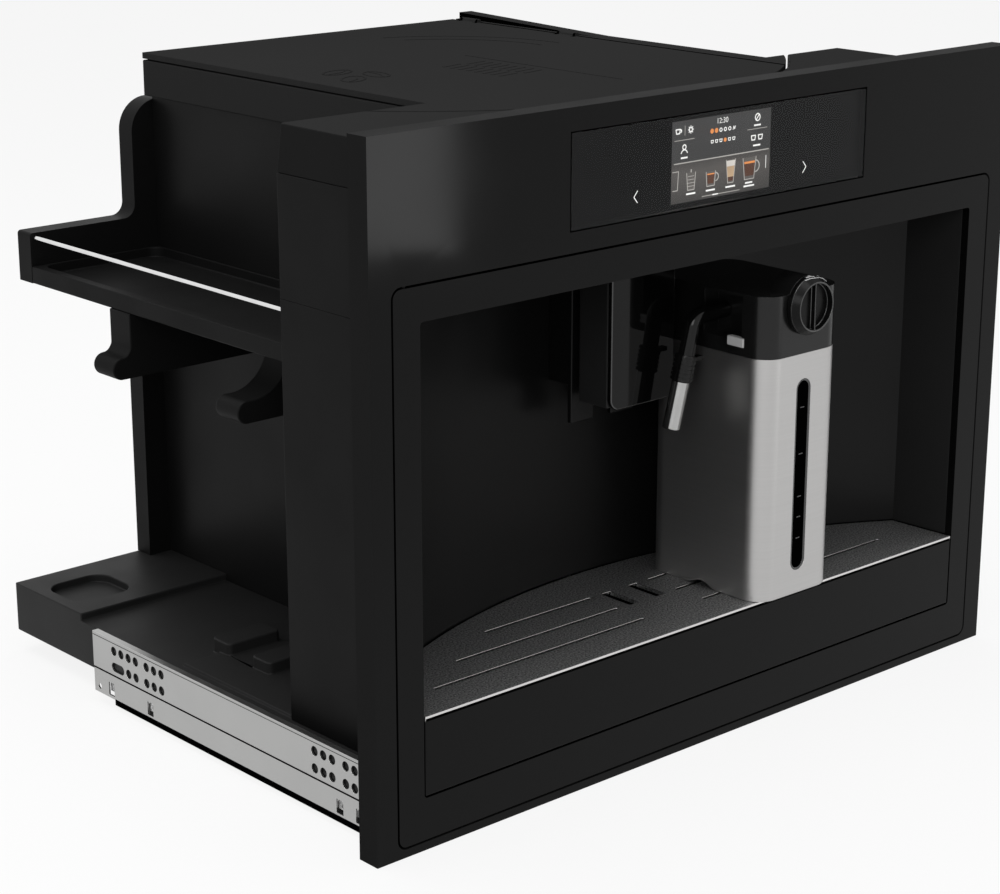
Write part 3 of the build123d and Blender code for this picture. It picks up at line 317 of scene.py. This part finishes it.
def rounded(node, look, width, **more):
    """A CAD node with its sharp edges rounded, shown in its place."""
    return shown(merged(node), node + "_skin", look, node, round_edges=width, stands_for=(node,), **more)


def painted(node, look):
    """A CAD node shown as it is, with a finish."""
    thing = frame["nodes"][node]
    if not thing.material_slots:
        thing.data.materials.append(finishes[look])
    for piece in thing.material_slots:
        piece.link = "OBJECT"
        piece.material = finishes[look]


def slab(bm, x0, x1, y0, y1, z0, z1):
    """Adds a box and returns its vertices."""
    middle = Vector(((x0 + x1) / 2, (y0 + y1) / 2, (z0 + z1) / 2))
    size = Matrix.Diagonal((abs(x1 - x0), abs(y1 - y0), abs(z1 - z0), 1))
    return bmesh.ops.create_cube(bm, size=1, matrix=Matrix.Translation(middle) @ size)["verts"]


def bar(bm, start, end, radius, sides=24, end_radius=None):
    """Adds a round bar between two points."""
    start, end = Vector(start), Vector(end)
    line = end - start
    turn = line.to_track_quat("Z", "Y").to_matrix().to_4x4()
    spot = Matrix.Translation((start + end) / 2) @ turn
    return bmesh.ops.create_cone(bm, cap_ends=True, segments=sides, radius1=radius,
                                 radius2=radius if end_radius is None else end_radius,
                                 depth=line.length, matrix=spot)["verts"]


def stroke(bm, points, width, thick, normal=(0, -1, 0)):
    """Adds a flat line along points, as a printed or raised mark is drawn."""
    normal = Vector(normal)
    for a, b in zip(points, points[1:]):
        a, b = Vector(a), Vector(b)
        along = (b - a).normalized()
        side = along.cross(normal)
        frame_of = Matrix((along, side, normal)).transposed().to_4x4()
        size = Matrix.Diagonal(((b - a).length + width * 0.5, width, thick, 1))
        bmesh.ops.create_cube(bm, size=1, matrix=Matrix.Translation((a + b) / 2) @ frame_of @ size)


def ring(centre, radius, start=0, end=360, steps=24, flat="XZ", squash=1.0):
    """Points round an arc in the front's plane or the top's plane."""
    points = []
    for i in range(steps + 1):
        a = math.radians(start + (end - start) * i / steps)
        u, v = radius * math.cos(a), radius * squash * math.sin(a)
        if flat == "XZ":
            points.append((centre[0] + u, centre[1], centre[2] + v))
        else:
            points.append((centre[0] + u, centre[1] + v, centre[2]))
    return points


def disc(bm, x, z, radius, thick, y=3.78, sides=20):
    """Adds a thin disc facing the front."""
    return bar(bm, (x, y, z), (x, y + thick, z), radius, sides)


# ---------------------------------------------------------------- the machine's own pieces, edges rounded
SKINS = (
    ("door_frame", "lacquer", 0.7),
    ("tray_fascia", "lacquer", 0.6),
    ("control_glass", "cover_glass", 0.35),
    ("spout_guide", "niche_plastic", 0.8),
    ("milk_dock", "niche_plastic", 1.2),
    # the spout body's lighter grey is painted light
    ("spout_body", "spout_lit_black", 1.0),
    ("left_column_lower", "column_housing", 0.5),
    ("left_column_upper", "column_housing", 0.5),
    ("right_column_lower", "column_housing", 0.5),
    ("right_column_upper", "column_housing", 0.5),
    ("top_lid", "moulded_housing", 0.9),
    ("top_frame", "moulded_housing", 1.0),
    ("left_wall", "painted_sheet", 0.3),
    ("right_wall", "painted_sheet", 0.3),
    ("rear_plate", "column_housing", 2.0),
    ("accessory_shelf", "column_housing", 1.8),
    ("shelf_arms", "column_housing", 2.2),
    ("base_pan", "pan_plastic", 1.2),
    ("tray_sill", "pan_plastic", 0.5),
    ("drip_tray", "tray_plastic", 0.4),
    ("grounds_container", "tray_plastic", 0.4),
    ("power_inlet", "satin_black", 0.5),
    ("mains_switch", "satin_black", 0.4),
    ("case_screws", "zinc_screw", 0.25),
    ("left_rail_middle", "dark_rail", 0.4),
    ("right_rail_middle", "dark_rail", 0.4),
    ("left_rail_inner", "dark_rail", 0.4),
    ("right_rail_inner", "dark_rail", 0.4),
    ("left_release_button", "light_grey_key", 0.8),
    ("right_release_button", "light_grey_key", 0.8),
    ("milk_pipe", "pipe_gloss", 0.3),
    ("pipe_tip", "tip_steel", 0.7),
    ("coffee_nozzles", "satin_black", 0.5),
    ("suction_tube", "polished_steel_and_highlight", 0.2),
    ("jug_liner", "niche_plastic", 0.3),
    ("bean_hopper", "smoke_plastic", 0.6),
    ("grind_dial", "satin_black", 0.6),
    ("shelf_rod", "chrome", 0.2),
)
for node, look, width in SKINS:
    rounded(node, look, width)
# the panel's top, side and back faces get the matte copy as painted shade
rounded("front_panel", "lacquer", 0.9, part_look="shaded_face_moulding", part=lambda n: n.y > -0.5)
# the niche shell's faces turned to the left get the lighter copy as painted light
rounded("niche_shell", "niche_plastic", 1.0, part_look="lit_return_plastic", part=lambda n: n.x < -0.97)
# the cover's faces that don't face up get the matte copy as painted shade
rounded("front_top_cover", "moulded_housing", 1.0, part_look="shaded_face_moulding", part=lambda n: n.z < 0.5)
# the hinge strip's faces turned to the left are black as painted shade
rounded("hinge_strip", "moulded_housing", 0.6, part_look="gap_and_shade_black", part=lambda n: n.x < -0.5)
# the rails' rounded edges get polished steel as painted highlight
rounded("left_rail_outer", "galvanised", 0.55, edge_look="polished_steel_and_highlight")
rounded("right_rail_outer", "galvanised", 0.55, edge_look="polished_steel_and_highlight")
rounded("jug_shell", "brushed_steel", 0.35)
# the rounded edges of these pieces get the lighter gloss as painted highlight
rounded("spout_plate", "gloss_black", 0.8, steps=3, edge_look="highlight_edge_gloss")
rounded("jug_lid", "satin_black", 2.0, edge_look="highlight_edge_gloss")
rounded("froth_knob", "grip_black", 0.45, edge_look="highlight_edge_gloss")
rounded("pipe_collar", "pipe_gloss", 0.5, edge_look="highlight_edge_gloss")
# the grate's rounded edges and its faces turned to the front get polished steel as painted highlight
rounded("drip_grate", "grate_metal", 0.6, edge_look="polished_steel_and_highlight", part_look="polished_steel_and_highlight",
        part=lambda n: n.y < -0.5)

for node, look in (("display_module", "satin_black"), ("inner_chassis", "galvanised"),
                   ("grinder_housing", "satin_black"), ("lower_burr", "polished_steel_and_highlight"),
                   ("brew_unit", "niche_plastic"), ("brew_piston", "pale_plastic"),
                   ("boiler", "polished_steel_and_highlight"), ("pump", "satin_black"), ("inner_hoses", "silicone"),
                   ("water_tank", "smoke_plastic"), ("main_board", "circuit_green")):
    painted(node, look)


# ---------------------------------------------------------------- display
def screen_piece(name, look, draw):
    bm = bmesh.new()
    draw(bm)
    return drawn(bm, name, look, "display_module")


def draw_ground(bm):
    slab(bm, -46.4, 46.4, 3.90, 3.96, SCREEN_LOW, SCREEN_HIGH)


def at(x, z, y=SCREEN_FACE):
    """A point of the display, from its place as read off the glass's face in the photograph."""
    return ((x - 5.9) * 0.965, y, SCREEN_LOW + (z - 380.8) * 0.976)


def cup_sign(x, z, size):
    """Points of a small cup drawn as an outline."""
    corners = ((-1, 0.7), (-0.7, -0.7), (0.7, -0.7), (1, 0.7), (-1, 0.7))
    return [at(x + u * size, z + v * size) for u, v in corners]


def tumbler(bm, x0, x1, z0, z1, narrow=0.0, y=SCREEN_FACE):
    """A cup or a part of its filling seen from the front, narrower below."""
    left, _, low = at(x0, z0)
    right, _, high = at(x1, z1)
    for v in slab(bm, left, right, y, y + 0.05, low, high):
        if v.co.z < (low + high) / 2:
            v.co.x += narrow if v.co.x < (left + right) / 2 else -narrow


def draw_lines(bm):
    """Dividers, outlines of the small signs, and the scroll line."""
    w, t = 0.75, 0.05
    stroke(bm, cup_sign(-36.8, 428.4, 2.0), w, t)
    stroke(bm, ring(at(-34.4, 428.6), 0.9, -90, 90, 8), w, t)
    stroke(bm, ring(at(-24.7, 428.6), 1.4, 0, 360, 16), w, t)
    for i in range(8):
        a = math.radians(i * 45)
        stroke(bm, [at(-24.7 + 1.7 * math.cos(a), 428.6 + 1.7 * math.sin(a)),
                    at(-24.7 + 2.6 * math.cos(a), 428.6 + 2.6 * math.sin(a))], 0.55, t)
    stroke(bm, ring(at(-30.5, 417.6), 1.5, 0, 360, 16), w, t)
    stroke(bm, ring(at(-30.5, 412.9), 2.9, 15, 165, 10), w, t)
    for i in range(2, 5):
        stroke(bm, ring(at(-4.2 + i * 4.3, 425.3), 1.1, 0, 360, 14), 0.6, t)
    stroke(bm, [at(16.2, 424.2), at(17.0, 426.4), at(17.8, 424.4), at(18.6, 426.4)], 0.5, t)
    for i in (0, 1, 2, 4, 5):
        stroke(bm, cup_sign(-3.8 + i * 4.2, 418.2, 1.2), 0.5, t)
    stroke(bm, ring(at(40.5, 429.9), 2.3, 0, 360, 18), w, t)
    stroke(bm, [at(39.0, 428.2), at(42.0, 431.6)], w, t)
    stroke(bm, cup_sign(36.8, 416.3, 2.1), w, t)
    stroke(bm, cup_sign(43.7, 416.3, 2.1), w, t)
    stroke(bm, [at(50, 394.5), at(50, 403)], 0.4, t)
    stroke(bm, [at(-2.2, 382.6), at(2.9, 382.6)], 0.8, t)
    for x0, x1, z in ((-33.4, -27.6, 410.6), (37.4, 43.6, 424.6), (37.0, 43.6, 411.0), (-27.6, -19.4, 386.0),
                      (-8.6, -0.4, 386.0), (10.6, 19.4, 386.0), (30.0, 36.6, 386.4), (28.6, 38.6, 384.2)):
        stroke(bm, [at(x0, z), at(x1, z)], 1.1, t)


def draw_faint_lines(bm):
    """Thin dividers, the tumblers' outlines and handles, and the unlit part of the scroll line."""
    t = 0.04
    for x0, z0, x1, z1, w in ((-30.2, 425.4, -30.2, 431.6, 0.4), (-39.9, 422.4, -21.2, 422.4, 0.4),
                              (30.7, 422.2, 50.3, 422.2, 0.4), (-39.9, 407.2, 52.4, 407.2, 0.7),
                              (-12.5, 382.6, 24.2, 382.6, 0.45)):
        stroke(bm, [at(x0, z0, 3.82), at(x1, z1, 3.82)], w, t)
    for x0, x1, z0, z1, narrow in ((-27.8, -19.2, 388.5, 400.0, 1.2), (-9.0, 0.1, 388.8, 398.5, 0.9),
                                   (10.4, 19.6, 388.6, 404.3, 1.9), (27.0, 40.1, 388.8, 403.5, 1.9)):
        stroke(bm, [at(x0, z1), at(x0 + narrow, z0), at(x1 - narrow, z0), at(x1, z1)], 0.55, t)
    for i in range(4):
        z = 391 + i * 2.2
        stroke(bm, [at(-27.0 + i * 0.25, z, 3.82), at(-20.0 - i * 0.25, z, 3.82)], 0.35, t)
    stroke(bm, [at(-23.5, 400.4), at(-23.5, 402.0)], 0.9, t)
    stroke(bm, [at(-41.4, 402), at(-35.6, 402), at(-36.4, 389.5), at(-40.8, 389.5)], 0.55, t)
    stroke(bm, ring(at(0.4, 394.4, 3.84), 2.6, -90, 90, 10), 0.7, t)
    stroke(bm, ring(at(39.6, 397.0, 3.84), 3.8, -90, 90, 10), 0.8, t)


def draw_orange(bm):
    for i in range(2):
        x, _, z = at(-4.2 + i * 4.3, 425.3)
        disc(bm, x, z, 1.6, 0.04)
    x, _, z = at(8.8, 418.2)
    disc(bm, x, z, 1.35, 0.04)
    tumbler(bm, 28.4, 39.0, 399.4, 400.8, 0.1, 3.78)
    tumbler(bm, -8.0, -0.9, 396.4, 397.2, 0.1, 3.78)


def draw_coffee(bm):
    tumbler(bm, -8.0, -0.9, 390.4, 396.4, 0.7)
    tumbler(bm, 28.4, 39.0, 391.0, 399.4, 1.0)
    tumbler(bm, 12.2, 17.8, 389.8, 392.6, 0.3)


def draw_cream(bm):
    tumbler(bm, 11.4, 18.6, 392.6, 399.8, 0.6)


def draw_milk(bm):
    tumbler(bm, 10.8, 19.2, 399.8, 403.6, 0.3)


def draw_tumblers(bm):
    tumbler(bm, -27.8, -19.2, 388.5, 400.0, 1.2, 3.86)
    tumbler(bm, -9.0, 0.1, 388.8, 398.5, 0.9, 3.86)
    tumbler(bm, 10.4, 19.6, 388.6, 404.3, 1.9, 3.86)
    tumbler(bm, 27.0, 40.1, 388.8, 403.5, 1.9, 3.86)


screen_piece("screen_ground", "screen_ground", draw_ground)
screen_piece("screen_lines", "screen_white", draw_lines)
screen_piece("screen_faint_lines", "screen_grey", draw_faint_lines)
screen_piece("screen_strength", "screen_orange", draw_orange)
screen_piece("screen_tumblers", "screen_dim", draw_tumblers)
screen_piece("screen_coffee", "screen_brown", draw_coffee)
screen_piece("screen_latte", "screen_cream", draw_cream)
screen_piece("screen_foam", "screen_milk", draw_milk)


def clock_digits():
    text = bpy.data.curves.new("clock", "FONT")
    text.body = "12:30"
    text.size = 0.0050
    text.align_x = "CENTER"
    holder = bpy.data.objects.new("clock_text", text)
    bpy.context.scene.collection.objects.link(holder)
    bpy.context.view_layer.update()
    flat = bpy.data.meshes.new_from_object(holder)
    bpy.data.objects.remove(holder)
    bm = bmesh.new()
    bm.from_mesh(flat)
    spot = Matrix.Translation((-0.0002, (FRONT + SCREEN_FACE) / 1000, 0.4302))
    upright = Matrix.Rotation(math.radians(90), 4, "X")
    bmesh.ops.transform(bm, matrix=spot @ upright, verts=bm.verts)
    return shown(bm, "screen_clock", "screen_white", "display_module")


clock_digits()


def glass_seam():
    """The dark gap round the control glass."""
    bm = bmesh.new()
    x0, x1, z0, z1 = -138.3, 138.3, 378.2, 439.7
    corners = [(x0, -0.02, z0), (x1, -0.02, z0), (x1, -0.02, z1), (x0, -0.02, z1), (x0, -0.02, z0)]
    stroke(bm, corners, 0.8, 0.06)
    return drawn(bm, "glass_seam", "gap_and_shade_black", "front_panel")


glass_seam()


def chevrons():
    bm = bmesh.new()
    for x, way in ((-78.3, 1), (81.4, -1)):
        stroke(bm, [(x + way * 1.6, 3.85, 387.8), (x - way * 1.6, 3.85, 391.6), (x + way * 1.6, 3.85, 395.4)],
               0.55, 0.05)
    return drawn(bm, "glass_arrows", "screen_white", "display_module")


chevrons()


def grate_shadow():
    """The shaded lower half of the grate's front edge, above the fascia."""
    bm = bmesh.new()
    slab(bm, -258.0, 258.0, -0.05, 0.3, 86.9, 88.5)
    return drawn(bm, "grate_shadow", "gap_and_shade_black", "tray_fascia")


grate_shadow()


# ---------------------------------------------------------------- jug details
def window_outline(bm, inset, y):
    """A ring of points round the sight glass, drawn in by a distance."""
    points = []
    for z, start in ((239.2, 0), (114.8, 180)):
        for i in range(13):
            a = math.radians(start + i * 15)
            radius = 7.2 - inset
            points.append(bm.verts.new((WINDOW_X + radius * math.cos(a), y, z + radius * math.sin(a))))
    return points


def jug_window():
    """The sight glass's rounded rim, its recessed dark strip and the level marks."""
    bm = bmesh.new()
    rim = ((0, -4.1), (0.1, -4.8), (0.9, -4.9), (1.4, WINDOW_Y))
    rings = [window_outline(bm, inset, y) for inset, y in rim]
    for outer, inner in zip(rings, rings[1:]):
        for i in range(len(outer)):
            j = (i + 1) % len(outer)
            bm.faces.new((outer[i], outer[j], inner[j], inner[i]))
    # the rim gets the lighter gloss as painted highlight
    drawn(bm, "window_rim", "highlight_edge_gloss", "jug_liner", smooth=60)
    bm = bmesh.new()
    bm.faces.new(window_outline(bm, 1.4, WINDOW_Y))
    drawn(bm, "window_strip", "gap_and_shade_black", "jug_liner")
    bm = bmesh.new()
    for z in (131.0, 146.5, 161.5, 192.5, 226.0):
        stroke(bm, [(WINDOW_X - 1.8, WINDOW_Y - 0.03, z), (WINDOW_X + 1.8, WINDOW_Y - 0.03, z)], 0.7, 0.05)
    drawn(bm, "level_marks", "grey_mark", "jug_liner")


jug_window()


def on_knob(angle, y):
    """A point on the knob's ring or its tapered rim, in millimetres, and the way out from it."""
    radius = KNOB_RADIUS if y > -8.8 else KNOB_RADIUS - (-8.8 - y) * 3.5 / 5.5
    a = math.radians(angle)
    return (WINDOW_X + radius * math.cos(a), y, KNOB_Z + radius * math.sin(a)), (math.cos(a), 0, math.sin(a))


def knob_sign_and_highlight():
    """The white sign over the top of the knob's rim, and a painted highlight along the rim's top edge."""
    bm = bmesh.new()
    # the two arcs over the top are painted highlight on the rim; the curl and the dot are the printed sign
    lines = (((112, -9.4), (100, -10.0), (88, -10.6), (75, -10.2), (62, -9.8), (48, -9.2)),
             ((104, -8.0), (96, -8.6), (88, -9.4)),
             ((66, -6.4), (60, -5.8), (53, -6.2), (50, -7.2), (56, -8.0)))
    for line in lines:
        for first, last in zip(line, line[1:]):
            start, normal = on_knob(*first)
            end, _ = on_knob(*last)
            stroke(bm, [start, end], 1.3, 0.3, normal)
    spot, normal = on_knob(95, -6.9)
    stroke(bm, [spot, (spot[0] + 0.6, spot[1], spot[2])], 1.3, 0.12, normal)
    return drawn(bm, "knob_sign_and_highlight", "white_sign_and_highlight", "froth_knob")


knob_sign_and_highlight()


# ---------------------------------------------------------------- top details
def lid_marks():
    """Raised lines, the vent bars and the bean sign on the lid."""
    bm = bmesh.new()
    z, t = LID_TOP, 0.5
    up = (0, 0, 1)
    stroke(bm, [(25, 122, z), (24, 284, z)], 0.8, t, up)
    stroke(bm, ring((6, 290, z), 117, 0, 72, 24, "XY"), 0.9, t, up)
    stroke(bm, ring((6, 290, z), 99, 0, 66, 24, "XY"), 0.9, t, up)
    for row in range(2):
        for i in range(8):
            x, y = -27 + row * 23, 189 + i * 8.6
            stroke(bm, [(x, y, z), (x + 18, y + 3.5, z)], 2.2, t, up)
    for cx, cy, turn in ((-101, 277, 20), (-86, 252, 75), (-112, 245, 40)):
        a = math.radians(turn)
        points = [(cx + 14 * math.cos(s) * math.cos(a) - 8 * math.sin(s) * math.sin(a),
                   cy + 14 * math.cos(s) * math.sin(a) + 8 * math.sin(s) * math.cos(a), z)
                  for s in [math.radians(k * 20) for k in range(19)]]
        stroke(bm, points, 1.2, t, up)
        stroke(bm, [(cx - 12 * math.cos(a), cy - 12 * math.sin(a), z), (cx + 2, cy - 2, z),
                    (cx + 12 * math.cos(a), cy + 12 * math.sin(a), z)], 1.0, t, up)
    return drawn(bm, "lid_relief", "moulded_housing", "top_lid")


lid_marks()


# ---------------------------------------------------------------- rail details
def rail_lines(side):
    """The seam, the fold line near the top and a strip of painted shade along the underside of an outer rail.
    """
    bm = bmesh.new()
    face = side * RAIL_FACE
    # the first two rows are the seam and the fold line; the last row is painted shade along the underside
    for y1, z0, z1 in ((344.6, 25.9, 27.1), (344.6, 51.3, 51.7), (318.6, 4.2, 8.6)):
        slab(bm, face - 0.1, face + 0.1, 20.4, y1, z0, z1)
    return drawn(bm, f"{SIDES[side]}_rail_lines", "gap_and_shade_black", f"{SIDES[side]}_rail_outer")


def rail_tabs(side):
    """Sheet tabs seen inside the rail's square slots."""
    bm = bmesh.new()
    face = side * RAIL_FACE
    for y in (323.0, 274.0, 60.0, 40.0):
        slab(bm, face - side * 1.9, face - side * 2.3, y - 3.9, y + 3.9, 12.6, 20.4)
    return drawn(bm, f"{SIDES[side]}_rail_tabs", "grate_metal", f"{SIDES[side]}_rail_outer")


for which in SIDES:
    rail_lines(which)
    rail_tabs(which)


# ---------------------------------------------------------------- stage
def background_rays(tree):
    """One for the camera's, mirrored and refracted rays, which see the white background, else zero."""
    path = tree.nodes.new("ShaderNodeLightPath")
    seen = tree.nodes.new("ShaderNodeMath")
    seen.operation = "MAXIMUM"
    both = tree.nodes.new("ShaderNodeMath")
    both.operation = "MAXIMUM"
    link(tree, path.outputs["Is Camera Ray"], seen.inputs[0])
    link(tree, path.outputs["Is Glossy Ray"], seen.inputs[1])
    link(tree, seen.outputs["Value"], both.inputs[0])
    link(tree, path.outputs["Is Transmission Ray"], both.inputs[1])
    return both.outputs["Value"]


def floor():
    bm = bmesh.new()
    bmesh.ops.create_grid(bm, x_segments=1, y_segments=1, size=12)
    mesh = bpy.data.meshes.new("floor")
    bm.to_mesh(mesh)
    bm.free()
    thing = bpy.data.objects.new("floor", mesh)
    thing.location = (0, 0, -0.0003)
    bpy.context.scene.collection.objects.link(thing)
    material = bpy.data.materials.new("floor_white")
    material.use_nodes = True
    tree = material.node_tree
    tree.nodes.remove(tree.nodes["Principled BSDF"])
    output = tree.nodes["Material Output"]
    matt = tree.nodes.new("ShaderNodeBsdfDiffuse")
    matt.inputs["Color"].default_value = (0.85, 0.85, 0.85, 1)
    white = tree.nodes.new("ShaderNodeEmission")
    white.inputs["Color"].default_value = (1, 1, 1, 1)
    white.inputs["Strength"].default_value = 1.0
    share = tree.nodes.new("ShaderNodeMath")
    share.operation = "MULTIPLY"
    share.inputs[1].default_value = 0.86
    mix = tree.nodes.new("ShaderNodeMixShader")
    link(tree, background_rays(tree), share.inputs[0])
    link(tree, share.outputs["Value"], mix.inputs["Fac"])
    link(tree, matt.outputs["BSDF"], mix.inputs[1])
    link(tree, white.outputs["Emission"], mix.inputs[2])
    link(tree, mix.outputs["Shader"], output.inputs["Surface"])
    mesh.materials.append(material)


def lamp(name, spot, target, size, power, height=None):
    light = bpy.data.lights.new(name, "AREA")
    light.energy = power
    light.size = size
    if height:
        light.shape = "RECTANGLE"
        light.size_y = height
    thing = bpy.data.objects.new(name, light)
    thing.location = spot
    thing.rotation_mode = "QUATERNION"
    thing.rotation_quaternion = (Vector(target) - Vector(spot)).to_track_quat("-Z", "Y")
    bpy.context.scene.collection.objects.link(thing)
    return thing


def studio():
    world = bpy.data.worlds.new("studio")
    bpy.context.scene.world = world
    world.use_nodes = True
    tree = world.node_tree
    ground = tree.nodes["Background"]
    level = tree.nodes.new("ShaderNodeMapRange")
    level.inputs["To Min"].default_value = 0.45
    level.inputs["To Max"].default_value = 1.0
    ground.inputs["Color"].default_value = (1, 1, 1, 1)
    link(tree, background_rays(tree), level.inputs["Value"])
    link(tree, level.outputs["Result"], ground.inputs["Strength"])
    lamp("overhead", (-0.3, 0.1, 2.4), (0, 0, 0.3), 2.2, 38)
    lamp("front_left", (-2.2, -2.0, 1.6), (0, 0, 0.25), 1.4, 22)
    low = lamp("low_right", (0.80, -1.35 + FRONT / 1000, 0.12), (-0.1, FRONT / 1000, 0.3), 0.20, 0.6, 0.22)
    low.visible_camera = False


def camera():
    data = bpy.data.cameras.new("camera")
    data.lens = 36 * 2.44
    data.sensor_width = 36
    data.clip_start = 0.05
    data.clip_end = 60
    thing = bpy.data.objects.new("camera", data)
    thing.location = (-1.154, -1.069 + FRONT / 1000, 0.686)
    thing.rotation_euler = (math.radians(90 - 16.83), 0, -math.radians(41.85))
    bpy.context.scene.collection.objects.link(thing)
    bpy.context.scene.camera = thing


floor()
studio()
camera()
bpy.context.scene.view_settings.view_transform = "Standard"
